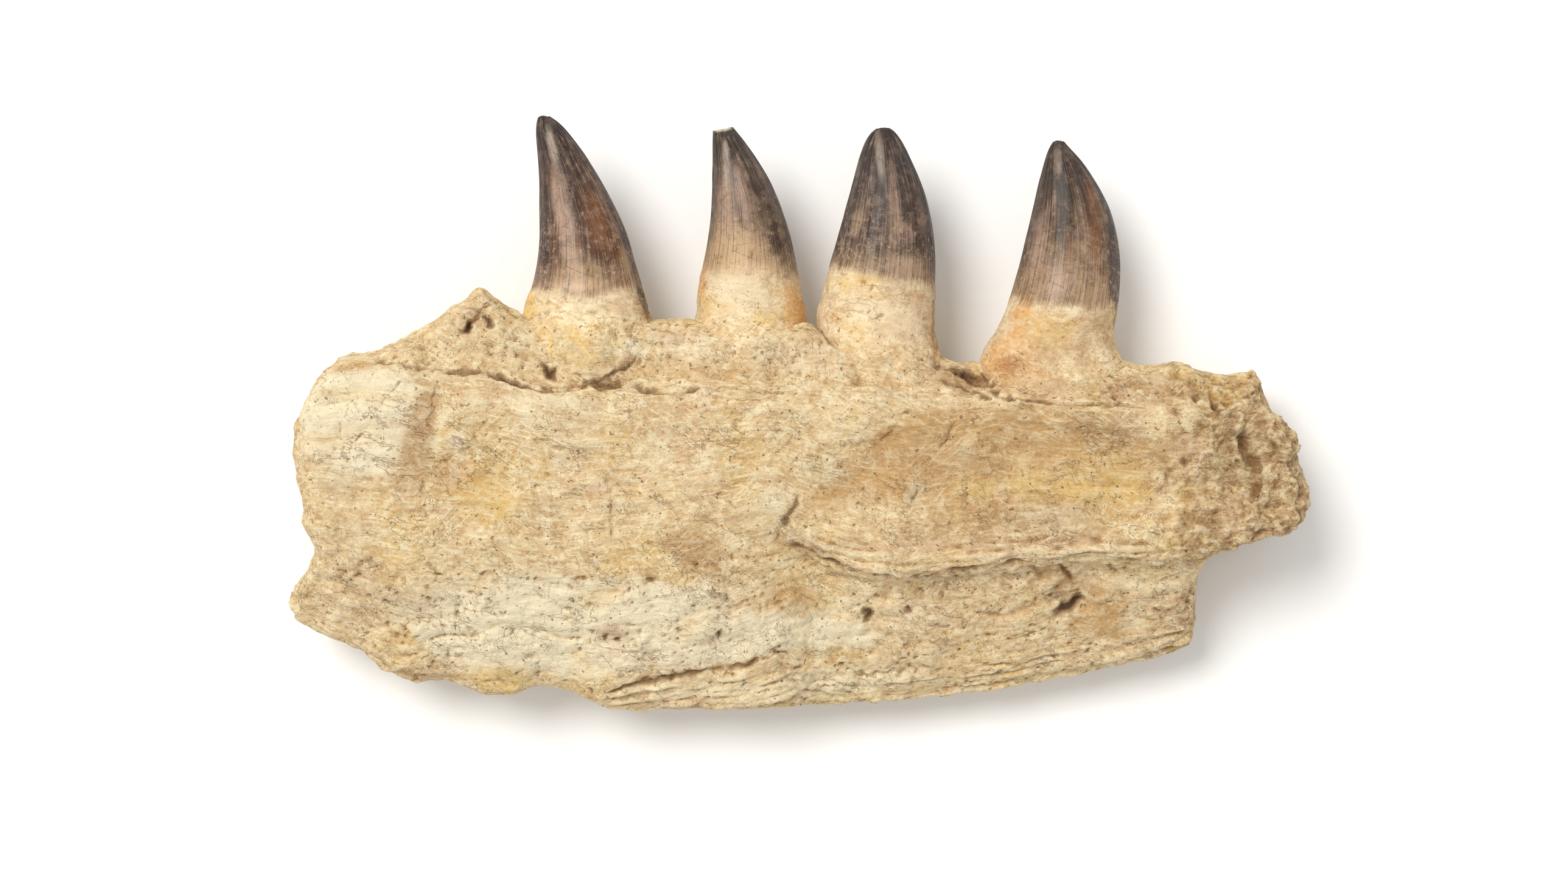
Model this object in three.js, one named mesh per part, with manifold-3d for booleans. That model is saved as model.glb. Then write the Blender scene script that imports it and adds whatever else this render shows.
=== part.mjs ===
// A section of a mosasaur's lower jaw with four teeth, lying on its outer side.
// The inner side of the jaw looks up (+Z), the jaw runs along X with the tooth tips leaning
// towards -X, and the teeth point along +Y. Millimetres. Z = 0 is the surface it lies on.

import * as THREE from 'three';
import { mergeVertices } from 'three/addons/utils/BufferGeometryUtils.js';
import { ImprovedNoise } from 'three/addons/math/ImprovedNoise.js';
import Module from 'manifold-3d';

// Driving dimensions

const WALL_FRONT = 44; // height of the inner face of the bone above the surface it lies on
const LEDGE_DEPTH = 4.5; // how far the tooth-bearing rim is set back from the wall below it
const LEDGE_WIDTH = 2.6; // how far up the set-back takes
const RIM_FALL = 4; // further fall of the rim from the ledge to its top edge
const BOTTOM_FALL = 13; // how far the inner face curves back towards the bottom edge
const STEP_DEPTH = 6.5; // how far the wall is broken back below the overhang
const STEP_WIDTH = 3.5; // how far down the break takes
const STEP_MARGIN = 0.5; // the break starts this far above the lower line
const OVERHANG_START = -8; // the overhang begins here and is full at OVERHANG_FULL
const OVERHANG_FULL = 12;
const OVERHANG_RIDGE = 2; // swelling along the edge of the overhang
const RIDGE_WIDTH = 5;
const STRIP_DEPTH = 2; // how far the bottom strip is set back
const STRIP_SLOPE = 3; // width of the slope down to the strip
const STRIP_MARGIN = 1; // the slope starts this far above the strip's line
const CURVE_MARGIN = 6; // the lower half starts curving back this far above the lower line
const CURVE_POWER = 1.2;
const EDGE_ROUNDING = 5; // width of the worn edges
const EDGE_DROP = 4.5; // how far a worn edge falls
const BACK_EDGE_SHARE = 0.8; // share of that fall on the outer face
const SOCKET_GAP = 0.35; // gap between a root and its socket

const BACK_RISE = 12; // how far the outer face curves up to the long edges
const BACK_END_RISE = 5; // and to the two ends
const REST_SINK = 1.1; // how much of that curve the flat resting spot takes off
const REST_BORDER = 2.5; // the lumps grow to full height over this much of the curve
const BACK_POWER = 2.2;
const BACK_LUMP_RISE = 0.6; // the lumps of the outer face rise more than they sink
const BACK_LUMP_SHIFT = 300; // and differ from those of the inner face
const BACK_MIDDLE = { x: -6, y: -29 }; // middle of the resting spot
const BACK_HALF_HEIGHT = 50;
const HALF_LENGTH = 141;

const COLUMNS = 64; // grid over the bone: along the jaw
const ROWS_BELOW = 8; // bottom edge to lower line
const ROWS_WALL = 10; // lower line to ledge
const ROWS_RIM = 6; // ledge to top edge
const ROWS_DEEP = 3; // through the thickness
const ROW_CROWDING = 1.25; // rows lie closer together beside the ledge and the overhang
const WALL_CROWDING = 0.08;

const CORNER_X = 110.3; // the lower right corner is broken away beyond this
const LUMP_SIZE = 13; // spacing of the low lumps over the bone
const LUMP_HEIGHT = 1.6;
const ROUGH_START = 104; // the rough end begins here
const ROUGH_FADE = 14; // and is fully rough after this
const ROUGH_SIZE = 8;
const ROUGH_HEIGHT = 4.2;
const ROUGH_SINK = 1.5;
const END_UNEVENNESS = 1.8; // of the broken ends, through the thickness
const END_LUMP_SIZE = 11;
const END_LUMP_SHIFT = 50;
const LEFT_END_LINE = -136; // where the rows of the grid meet the two ends
const RIGHT_END_LINE = 130;

const TOOTH_SIDES = 16;
const TOOTH_STATIONS = 13;

const CUTTER_HEIGHT = 80; // of the tool that breaks the corner away
const CUTTER_START = -10;
const MERGE_SOLID = 1e-4; // points closer than this are joined
const MERGE_GRID = 1e-5;

// Hollows and swellings of the inner face: middle, reach along X and Y, height

const NOTCH = { x: 49, y: 10, reachX: 4.5, reachY: 5.5, height: -6 }; // beside the last tooth
const DIP = { x: -33, y: 18, reachX: 5, reachY: 8, height: -1.5 };
const PEAK = { x: -92, y: 24, reachX: 9, reachY: 8, height: 2 };
const WALL_SWELLING = { x: -60, y: -2, reachX: 70, reachY: 8, height: 1.2 };
const END_GROOVE = { x: 123.5, y: -10, reachX: 3, reachY: 16, height: -2.5 };
const BASIN = { x: 54, y: -18, reachX: 54, reachY: 17, height: -2.8 };
const BASIN_FLOOR = 0.72; // share of the basin that is flat
const BASIN_BRIM = 1.12; // where its soft side ends

// Outlines of the bone, as [x, y] from left to right

const TOP_EDGE = [
  [-141, 16.6], [-125.8, 16.8], [-116.5, 16.6], [-109, 21.1], [-104.3, 22.3], [-96.8, 28.1],
  [-92.8, 29.8], [-87.5, 35.6], [-84.3, 32.6], [-77.5, 28.4], [-70, 26], [-39.2, 25.8],
  [-28, 26.6], [2.3, 25.9], [5.3, 25.8], [10, 20], [38, 14.2], [49.3, 14.6], [62, 11],
  [88.2, 15.5], [94.5, 13.2], [98.8, 13.4], [104.8, 15.2], [110, 12.1], [121.2, 10.9],
  [124.2, 13.2], [141, 10],
];
const LEDGE_LINE = [
  [-141, 8], [-125, 12.5], [-115.8, 14.2], [-96.3, 11.9], [-84.8, 11.5], [-76, 8.8],
  [-65, 6.6], [-36, 5.9], [-26, 7.6], [17, 6.6], [31, 4.1], [45, 4.4], [54, 5.8], [72, 2.8],
  [92, 2.4], [141, 0],
];
const LOWER_LINE = [
  [-141, -35], [-131, -34.5], [-105, -40], [-62, -41.5], [-30, -40], [-12, -35], [-5, -33.5],
  [7, -41], [15, -43.4], [29.5, -44.8], [63, -40.9], [78, -38.9], [91, -40.9], [141, -38],
];
const BOTTOM_EDGE = [
  [-141, -54], [-138.3, -57], [-128.3, -62.4], [-117, -66.6], [-113.7, -70.6], [-106, -74.1],
  [-96.2, -72.6], [-92, -75.1], [-85, -77.6], [-78, -77.1], [-70.8, -74.1], [-63.8, -75.4],
  [-54.8, -79.6], [-52, -81.8], [-10, -81.1], [27.5, -79.8], [55, -76.6], [91, -69.4],
  [101.7, -67.2], [110.3, -63.2], [141, -58],
];

// Broken ends of the bone, as [y, x] from the bottom up

const LEFT_END = [
  [-58, -138], [-53.1, -141], [-49.9, -140], [-45.6, -135.8], [-37.8, -132.5], [-34.4, -131.2],
  [-33.3, -134.8], [-20.8, -135], [-17.3, -136.2], [-7.6, -138.2], [-2.9, -138], [0.4, -136],
  [10.3, -128.5], [16.6, -125.8],
];
const RIGHT_END = [
  [-60, 118], [-45, 128], [-31.6, 136.2], [-27.9, 139.5], [-22.3, 141], [-19.3, 139.8],
  [-15.9, 137.5], [-8.6, 137.7], [-4.1, 136.2], [0.8, 130.3], [7.8, 128.7], [12.9, 124.8],
];

// The broken lower right corner, as [x, y]

const BROKEN_CORNER = [
  [CORNER_X, -100], [CORNER_X, -56], [CORNER_X - 0.8, -47], [CORNER_X + 0.5, -39.4],
  [116.8, -37.5], [124.2, -35.3], [129.5, -33.4], [133.8, -33.3], [138, -30.5], [143, -27],
  [160, -27], [160, -100],
];

// The top line of the strip along the bottom edge

const STRIP_LINE = [
  [-58, -82], [-52.7, -76], [-37, -73.2], [-14, -68.9], [-1, -65], [12, -70], [18, -72.4],
  [32, -70.6], [60, -66], [91, -60], [141, -50],
];

// Each tooth runs from its tip down its two edges to the end of its root, as [x, y] on the
// left and the right edge, the height of its middle and half its thickness.

const TEETH = {
  tooth_1: {
    colour: 0x6b4c38,
    rows: [
      { left: [-70.7, 81.8], right: [-68.7, 81.8], middle: 28.2, half: 0.9 },
      { left: [-71.6, 79.4], right: [-65.4, 79.7], middle: 28, half: 2.7 },
      { left: [-71.5, 74.4], right: [-60.4, 74.2], middle: 27.6, half: 5.1 },
      { left: [-70.8, 66], right: [-52.4, 61.9], middle: 26.8, half: 8 },
      { left: [-70.8, 50.5], right: [-45.4, 46], middle: 25.6, half: 10.8 },
      { left: [-72.3, 36], right: [-42.5, 34], middle: 24.6, half: 12.6 },
      { left: [-76.4, 28], right: [-39.4, 26.4], middle: 24.4, half: 14.4 },
      { left: [-75.8, 20], right: [-39.4, 20], middle: 26, half: 15 },
      { left: [-72, 14], right: [-44.5, 15], middle: 28, half: 13 },
      { left: [-65.5, 8.8], right: [-54.5, 8.8], middle: 30, half: 8.5 },
    ],
  },
  tooth_2: {
    colour: 0x8a7561,
    rows: [
      { left: [-23, 77.8], right: [-17.8, 78.8], middle: 27.6, half: 2.5 },
      { left: [-23.1, 75], right: [-14.8, 75], middle: 27.5, half: 4 },
      { left: [-23.1, 69], right: [-9.9, 68.2], middle: 27.1, half: 6 },
      { left: [-23.3, 60], right: [-4.9, 59.1], middle: 26.4, half: 8.1 },
      { left: [-24.6, 48], right: [-0.9, 45.4], middle: 25.4, half: 10.4 },
      { left: [-27.2, 36], right: [1.2, 33.6], middle: 24.4, half: 12.2 },
      { left: [-28.2, 26.6], right: [2.6, 25.6], middle: 24.4, half: 13.6 },
      { left: [-28, 21], right: [2.4, 20.6], middle: 25.6, half: 14 },
      { left: [-24, 16.2], right: [-1.8, 16.2], middle: 27.4, half: 12 },
      { left: [-18.6, 13.8], right: [-8, 13.8], middle: 29.4, half: 8 },
    ],
  },
  tooth_3: {
    colour: 0x6e5f55,
    rows: [
      { left: [22.2, 78.6], right: [24.8, 78.6], middle: 28.1, half: 1.1 },
      { left: [19.6, 76.6], right: [27.3, 76.9], middle: 28, half: 3.2 },
      { left: [17, 70.4], right: [30.7, 71.1], middle: 27.6, half: 5.7 },
      { left: [13.5, 57.6], right: [36, 58.5], middle: 26.6, half: 9.4 },
      { left: [10, 45], right: [37.9, 45.5], middle: 25.6, half: 12 },
      { left: [6.8, 34.6], right: [38, 34.4], middle: 24.6, half: 13.4 },
      { left: [5, 26], right: [37.6, 24], middle: 24.4, half: 14.4 },
      { left: [5.6, 20.4], right: [39.6, 16], middle: 25.6, half: 14.6 },
      { left: [10.6, 14.6], right: [40, 12.4], middle: 27.2, half: 12.6 },
      { left: [18.6, 10.6], right: [34, 9.8], middle: 29, half: 8.4 },
    ],
  },
  tooth_4: {
    colour: 0x7d6655,
    rows: [
      { left: [70.6, 75.1], right: [72.6, 75.1], middle: 28.1, half: 0.9 },
      { left: [68.9, 72.6], right: [74.7, 72.7], middle: 28, half: 2.8 },
      { left: [67, 66.6], right: [79.6, 67.2], middle: 27.6, half: 5.3 },
      { left: [64.6, 56], right: [85.5, 57.5], middle: 26.8, half: 9 },
      { left: [61.6, 44], right: [89, 44], middle: 25.8, half: 11.6 },
      { left: [58.4, 31.6], right: [88.4, 30], middle: 25, half: 13 },
      { left: [54.6, 23.2], right: [86.8, 21.6], middle: 25, half: 14.4 },
      { left: [49.4, 15.4], right: [89.4, 14.6], middle: 25.8, half: 15.4 },
      { left: [49.2, 11.4], right: [92, 10.6], middle: 27, half: 14.6 },
      { left: [54.4, 6.4], right: [90.6, 4.6], middle: 28.6, half: 11.6 },
    ],
  },
};

// Materials

const boneMaterial = new THREE.MeshStandardMaterial({
  color: 0xd9c39a,
  roughness: 0.9,
  metalness: 0,
});

function enamelMaterial(colour) {
  return new THREE.MeshStandardMaterial({ color: colour, roughness: 0.38, metalness: 0 });
}

// Small helpers

const wasm = await Module();
wasm.setup();

const LUMP_SLICES = [3.7, 9.1]; // heights in the noise that the two sizes of lumps are read at
const FINE_LUMPS = 2.3; // how much smaller the fine lumps are
const noise = new ImprovedNoise();
const { clamp, lerp, smoothstep } = THREE.MathUtils;

// Height of a line given by points, at a place along it
function along(points, place) {
  let k = 1;
  while (k < points.length - 1 && points[k][0] < place) k += 1;
  const [start, from] = points[k - 1];
  const [end, to] = points[k];
  return lerp(from, to, clamp((place - start) / (end - start), 0, 1));
}

// Two sizes of soft lumps, from about -1 to 1
function lumps(x, y, size) {
  const coarse = noise.noise(x / size, y / size, LUMP_SLICES[0]);
  const fine = noise.noise(x / size * FINE_LUMPS, y / size * FINE_LUMPS, LUMP_SLICES[1]);
  return coarse + 0.5 * fine;
}

// A rounded swelling or hollow that fades out about an oval
function mound(x, y, form) {
  const dx = (x - form.x) / form.reachX;
  const dy = (y - form.y) / form.reachY;
  return form.height * Math.exp(-dx * dx - dy * dy);
}

// A flat-floored oval hollow with soft sides
function basin(x, y, form) {
  const reach = Math.hypot((x - form.x) / form.reachX, (y - form.y) / form.reachY);
  return form.height * (1 - smoothstep(reach, BASIN_FLOOR, BASIN_BRIM));
}

function toManifold(geometry) {
  const bare = geometry.clone();
  bare.deleteAttribute('normal');
  bare.deleteAttribute('uv');
  const merged = mergeVertices(bare, MERGE_SOLID);
  return new wasm.Manifold(new wasm.Mesh({
    numProp: 3,
    vertProperties: new Float32Array(merged.attributes.position.array),
    triVerts: new Uint32Array(merged.index.array),
  }));
}

function toGeometry(solid) {
  const mesh = solid.getMesh();
  const geometry = new THREE.BufferGeometry();
  geometry.setAttribute('position', new THREE.BufferAttribute(mesh.vertProperties, 3));
  geometry.setIndex(new THREE.BufferAttribute(mesh.triVerts, 1));
  geometry.computeVertexNormals();
  return geometry;
}

// The bone

// Height of the inner face, which looks up
function innerFace(x, y) {
  const ledge = along(LEDGE_LINE, x);
  const lower = along(LOWER_LINE, x);
  const top = along(TOP_EDGE, x);
  const bottom = along(BOTTOM_EDGE, x);

  let z = WALL_FRONT + LUMP_HEIGHT * lumps(x, y, LUMP_SIZE);

  // the rim that carries the teeth
  z -= LEDGE_DEPTH * smoothstep(y, ledge, ledge + LEDGE_WIDTH);
  z -= RIM_FALL * clamp((y - ledge) / (top - ledge), 0, 1) ** 2;
  z += mound(x, y, NOTCH) + mound(x, y, DIP) + mound(x, y, PEAK);

  // the wall, with its basin
  z += mound(x, y, WALL_SWELLING) + basin(x, y, BASIN);

  // the lower half: curved back, and broken back below the overhang
  const overhang = smoothstep(x, OVERHANG_START, OVERHANG_FULL);
  const ridge = (y - lower - RIDGE_WIDTH) / RIDGE_WIDTH;
  const step = lower + STEP_MARGIN;
  const strip = along(STRIP_LINE, x) + STRIP_MARGIN;
  z -= BOTTOM_FALL * smoothstep(-y, -lower - CURVE_MARGIN, -bottom) ** CURVE_POWER;
  z += OVERHANG_RIDGE * overhang * Math.exp(-ridge * ridge);
  z -= STEP_DEPTH * overhang * smoothstep(-y, -step, STEP_WIDTH - step);
  z -= STRIP_DEPTH * smoothstep(-y, -strip, STRIP_SLOPE - strip);

  // the rough end, with a groove down it
  const rough = smoothstep(x, ROUGH_START, ROUGH_START + ROUGH_FADE);
  z += rough * (ROUGH_HEIGHT * lumps(x, y, ROUGH_SIZE) - ROUGH_SINK);
  z += mound(x, y, END_GROOVE);
  return z;
}

// Height of the outer face, which looks down; its middle is the flat resting spot
function outerFace(x, y) {
  const across = Math.abs((y - BACK_MIDDLE.y) / BACK_HALF_HEIGHT) ** BACK_POWER;
  const endways = ((x - BACK_MIDDLE.x) / HALF_LENGTH) ** 2;
  const curve = BACK_RISE * across + BACK_END_RISE * endways - REST_SINK;
  if (curve <= 0) return 0;
  const lump = lumps(x + BACK_LUMP_SHIFT, y, LUMP_SIZE) + BACK_LUMP_RISE;
  return Math.max(0, curve + LUMP_HEIGHT * lump * smoothstep(curve, 0, REST_BORDER));
}

// Place of the row lines of the grid between the four long lines of the bone
function rowHeight(x, v) {
  const rows = v * (ROWS_BELOW + ROWS_WALL + ROWS_RIM);
  const bottom = along(BOTTOM_EDGE, x);
  const lower = along(LOWER_LINE, x);
  const ledge = along(LEDGE_LINE, x);
  const top = along(TOP_EDGE, x);
  if (rows <= ROWS_BELOW) {
    return lerp(lower, bottom, (1 - rows / ROWS_BELOW) ** ROW_CROWDING);
  }
  if (rows <= ROWS_BELOW + ROWS_WALL) {
    const part = (rows - ROWS_BELOW) / ROWS_WALL;
    return lerp(lower, ledge, part - WALL_CROWDING * Math.sin(2 * Math.PI * part));
  }
  return lerp(ledge, top, ((rows - ROWS_BELOW - ROWS_WALL) / ROWS_RIM) ** ROW_CROWDING);
}

function boneBlank() {
  const rows = ROWS_BELOW + ROWS_WALL + ROWS_RIM;
  const block = new THREE.BoxGeometry(1, 1, 1, COLUMNS, rows, ROWS_DEEP);
  block.translate(0.5, 0.5, 0.5);
  block.deleteAttribute('normal');
  block.deleteAttribute('uv');
  const skin = mergeVertices(block, MERGE_GRID);
  const place = skin.attributes.position;
  for (let k = 0; k < place.count; k += 1) {
    const u = place.getX(k);
    const v = place.getY(k);
    const w = place.getZ(k);
    const left = along(LEFT_END, rowHeight(LEFT_END_LINE, v));
    const right = along(RIGHT_END, rowHeight(RIGHT_END_LINE, v));
    let x = lerp(left, right, u);
    let y = rowHeight(x, v);

    // worn edges: the faces fall towards each other along the outline
    const top = along(TOP_EDGE, x);
    const bottom = along(BOTTOM_EDGE, x);
    const inside = Math.min(x - left, right - x, top - y, y - bottom);
    const worn = EDGE_DROP * (1 - Math.min(1, inside / EDGE_ROUNDING)) ** 2;
    const low = outerFace(x, y) + worn * BACK_EDGE_SHARE;
    const high = innerFace(x, y) - worn;
    const z = lerp(low, high, w);

    // the broken ends are uneven through the thickness
    const atEnd = u === 0 || u === 1;
    if (atEnd) x += END_UNEVENNESS * lumps(z, y + END_LUMP_SHIFT, END_LUMP_SIZE);
    place.setXYZ(k, x, y, z);
  }
  return toManifold(skin);
}

function brokenCorner() {
  const shape = new THREE.Shape(BROKEN_CORNER.map(([x, y]) => new THREE.Vector2(x, y)));
  const cutter = new THREE.ExtrudeGeometry(shape, { depth: CUTTER_HEIGHT, bevelEnabled: false });
  cutter.translate(0, 0, CUTTER_START);
  return toManifold(cutter);
}

// The teeth

function toothGeometry(rows) {
  const edge = (side) => new THREE.CatmullRomCurve3(
    rows.map((row) => new THREE.Vector3(row[side][0], row[side][1], row.middle)),
    false,
    'centripetal',
  );
  const leftEdge = edge('left');
  const rightEdge = edge('right');
  const thickness = new THREE.SplineCurve(rows.map((row, k) => new THREE.Vector2(k, row.half)));

  // a closed tube: a cylinder whose rings are set between the two edges
  const tube = new THREE.CylinderGeometry(1, 1, 1, TOOTH_SIDES, TOOTH_STATIONS - 1);
  tube.deleteAttribute('normal');
  tube.deleteAttribute('uv');
  const skin = mergeVertices(tube, MERGE_GRID);
  const place = skin.attributes.position;
  for (let k = 0; k < place.count; k += 1) {
    const fall = 0.5 - place.getY(k);
    const left = leftEdge.getPoint(fall);
    const right = rightEdge.getPoint(fall);
    const centre = left.clone().add(right).multiplyScalar(0.5);
    const across = right.clone().sub(left).multiplyScalar(0.5);
    const half = thickness.getPoint(fall).y;
    const point = centre.addScaledVector(across, place.getX(k));
    place.setXYZ(k, point.x, point.y, point.z + half * place.getZ(k));
  }
  skin.computeVertexNormals();
  return skin;
}

// The same form a little larger, to cut its socket
function swollen(geometry, amount) {
  const larger = geometry.clone();
  const place = larger.attributes.position;
  const normal = larger.attributes.normal;
  for (let k = 0; k < place.count; k += 1) {
    place.setXYZ(
      k,
      place.getX(k) + amount * normal.getX(k),
      place.getY(k) + amount * normal.getY(k),
      place.getZ(k) + amount * normal.getZ(k),
    );
  }
  return larger;
}

// Putting the jaw together

const jaw = new THREE.Group();
jaw.name = 'mosasaur_jaw';

let bone = boneBlank().subtract(brokenCorner());
for (const [name, tooth] of Object.entries(TEETH)) {
  const form = toothGeometry(tooth.rows);
  bone = bone.subtract(toManifold(swollen(form, SOCKET_GAP)));
  const mesh = new THREE.Mesh(toGeometry(toManifold(form)), enamelMaterial(tooth.colour));
  mesh.name = name;
  jaw.add(mesh);
}

const boneMesh = new THREE.Mesh(toGeometry(bone), boneMaterial);
boneMesh.name = 'jaw_bone';
jaw.add(boneMesh);

// The origin is at the middle of the jaw's box, on the surface it lies on
const box = new THREE.Box3().setFromObject(jaw);
const middle = box.getCenter(new THREE.Vector3());
jaw.position.set(-middle.x, -middle.y, -box.min.z);

export default jaw;
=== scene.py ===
"""The looks of a fossil mosasaur jaw: its bone, its four teeth, and a pale stage with soft light.

The jaw lies on its outer side. Its inner side looks up, the tooth tips point along +Y. Sizes
inside the sculpting functions are in millimetres, everything else is in metres.
"""

import bmesh
import bpy
import numpy as np
from bpy.props import FloatProperty, FloatVectorProperty, IntProperty, PointerProperty
from bpy.types import Operator, Panel, PropertyGroup
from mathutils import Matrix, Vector, noise


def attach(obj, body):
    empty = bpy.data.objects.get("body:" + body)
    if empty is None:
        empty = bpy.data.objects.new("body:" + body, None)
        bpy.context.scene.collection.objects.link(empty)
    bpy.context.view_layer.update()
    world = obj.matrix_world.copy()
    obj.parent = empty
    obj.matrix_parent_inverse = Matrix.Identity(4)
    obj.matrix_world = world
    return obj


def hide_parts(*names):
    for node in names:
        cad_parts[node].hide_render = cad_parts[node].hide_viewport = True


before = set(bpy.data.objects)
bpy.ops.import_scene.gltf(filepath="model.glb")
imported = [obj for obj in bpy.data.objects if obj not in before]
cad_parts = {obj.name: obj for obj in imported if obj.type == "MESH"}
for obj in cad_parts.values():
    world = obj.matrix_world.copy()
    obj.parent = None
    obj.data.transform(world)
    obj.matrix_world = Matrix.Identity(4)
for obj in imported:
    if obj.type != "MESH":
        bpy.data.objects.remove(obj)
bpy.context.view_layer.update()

bl_info = {
    "name": "Mosasaur Jaw",
    "version": (1, 0, 0),
    "blender": (4, 5, 0),
    "location": "3D View > Sidebar > Jaw",
    "description": "Fossil jaw bone with four teeth, on a pale stage",
    "category": "Object",
}

MM = 0.001
BODY = "root"
BONE = "jaw_bone"
TEETH = ("tooth_1", "tooth_2", "tooth_3", "tooth_4")


def paint(red, green, blue):
    """A colour mixed as 0 to 255 on screen, in the linear values that the shaders use."""
    screen = np.array([red, green, blue]) / 255
    linear = np.where(screen <= 0.04045, screen / 12.92, ((screen + 0.055) / 1.055) ** 2.4)
    return tuple(float(value) for value in linear)


def colour(name, description, red, green, blue):
    """A colour property with its default."""
    return FloatVectorProperty(
        name=name,
        description=description,
        default=paint(red, green, blue),
        subtype="COLOR",
        min=0.0,
        max=1.0,
    )


def number(name, description, default, low, high, **more):
    """A number property with its default and its limits."""
    return FloatProperty(
        name=name, description=description, default=default, min=low, max=high, **more)


DISTANCE = {"subtype": "DISTANCE", "unit": "LENGTH"}
FACTOR = {"subtype": "FACTOR"}


# Settings


class JawBoneSettings(PropertyGroup):
    """Sizes and colours of the bone."""

    voxel: number(
        "Cell size", "Size of the cells that the bone is remade with before it is sculpted",
        0.00205, 0.001, 0.004, **DISTANCE)
    front_cuts: IntProperty(
        name="Inner face cuts",
        description="How many times each edge of the inner face is cut for its fine relief",
        default=2,
        min=0,
        max=3,
    )
    relief: number("Relief", "Strength of the sculpted relief", 1.0, 0.0, 2.0, **FACTOR)
    tan: colour("Tan", "The main tone of the bone", 224, 195, 148)
    cream: colour("Cream", "The pale fibres and the worn tops", 247, 231, 193)
    brown: colour("Brown", "The darker grain", 180, 140, 92)
    # Crack and soil are laid in the cracks and pits as both dirt and painted shade; crack also
    # darkens the roots' hollows as painted shade.
    crack: colour("Crack", "The fine cracks", 132, 98, 62)
    soil: colour("Soil", "The dark dirt in deep cracks and pits", 78, 56, 38)
    chalk: colour("Chalk", "Whitish chalk left on the bone", 246, 233, 200)
    gold: colour("Gold", "Mustard-yellow stain", 224, 188, 116)
    ochre: colour("Ochre", "Orange-brown stain", 203, 160, 102)
    umber: colour("Umber", "Brown stain", 184, 146, 102)
    rose: colour("Rose", "Pinkish stain", 218, 186, 150)
    slate: colour("Slate", "Greyish stain", 208, 191, 158)
    rust: colour("Rust", "Red-brown stain", 166, 108, 60)
    crust: colour("Crust", "The rough matrix on the broken end", 172, 140, 102)


class JawTeethSettings(PropertyGroup):
    """Sizes and colours of the teeth."""

    smoothing: IntProperty(
        name="Smoothing levels",
        description="Levels of subdivision on each tooth",
        default=3,
        min=1,
        max=4,
    )
    gloss: number("Enamel roughness", "Roughness of the enamel", 0.4, 0.05, 1.0, **FACTOR)
    root: colour("Root", "The ivory roots", 223, 199, 163)
    # Each tip colour also darkens its crown's side edges as painted shade.
    first_tip: colour("First tip", "Tip and edges of the first tooth", 42, 29, 24)
    first_body: colour("First crown", "Crown of the first tooth", 102, 70, 50)
    second_tip: colour("Second tip", "Tip and edges of the second tooth", 48, 39, 33)
    second_body: colour("Second crown", "Crown of the second tooth", 136, 112, 86)
    third_tip: colour("Third tip", "Tip and edges of the third tooth", 38, 30, 28)
    third_body: colour("Third crown", "Crown of the third tooth", 94, 76, 64)
    fourth_tip: colour("Fourth tip", "Tip and edges of the fourth tooth", 40, 31, 26)
    fourth_body: colour("Fourth crown", "Crown of the fourth tooth", 108, 84, 64)
    # Mauve is the enamel's own light streaking, and on the first and third crowns also a painted
    # highlight streak down the crown.
    mauve: colour("Mauve", "Light streaks in the enamel", 182, 152, 130)
    amber: colour("Amber", "Warm streaks in the enamel", 128, 80, 40)
    dusk: colour("Dusk", "Dark streaks in the enamel", 58, 40, 31)
    # A painted highlight: the pale streak beside each tip.
    painted_highlight: colour("Glint", "Pale streak beside each tip", 192, 174, 156)
    orange: colour("Orange", "Orange stain on the roots", 218, 164, 98)
    fawn: colour("Fawn", "Tan enamel and stain near the roots", 200, 166, 124)


class JawStageSettings(PropertyGroup):
    """The floor, the light and the camera."""

    floor: colour("Floor", "The pale floor", 250, 250, 249)
    key: number("Key light", "Strength of the soft light from the upper left", 2.2, 0.0, 10.0)
    sky: number("Sky light", "Strength of the even light from all round", 0.7, 0.0, 3.0)
    distance: number(
        "Camera distance", "Height of the camera above the inner face", 1.1, 0.3, 5.0,
        **DISTANCE)


# Long lines of the bone, in millimetres on the inner face, from left to right: the ledge under
# the teeth, the foot of the wall below it, and the top of the strip along the bottom

LEDGE_LINE = [
    (-141, 8), (-125, 12.5), (-115.8, 14.2), (-96.3, 11.9), (-84.8, 11.5), (-76, 8.8),
    (-65, 6.6), (-36, 5.9), (-26, 7.6), (17, 6.6), (31, 4.1), (45, 4.4), (54, 5.8),
    (72, 2.8), (92, 2.4), (141, 0),
]
LOWER_LINE = [
    (-141, -35), (-131, -34.5), (-105, -40), (-62, -41.5), (-30, -40), (-12, -35),
    (-5, -33.5), (7, -41), (15, -43.4), (29.5, -44.8), (63, -40.9), (78, -38.9),
    (91, -40.9), (141, -38),
]
STRIP_LINE = [
    (-58, -82), (-52.7, -76), (-37, -73.2), (-14, -68.9), (-1, -65), (12, -70), (18, -72.4),
    (32, -70.6), (60, -66), (91, -60), (141, -50),
]

# Cracks and grooves: points, depth and half width in millimetres, and darkness. The darkness
# paints both dirt in the crack and painted shade where the crack is deep.

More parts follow.
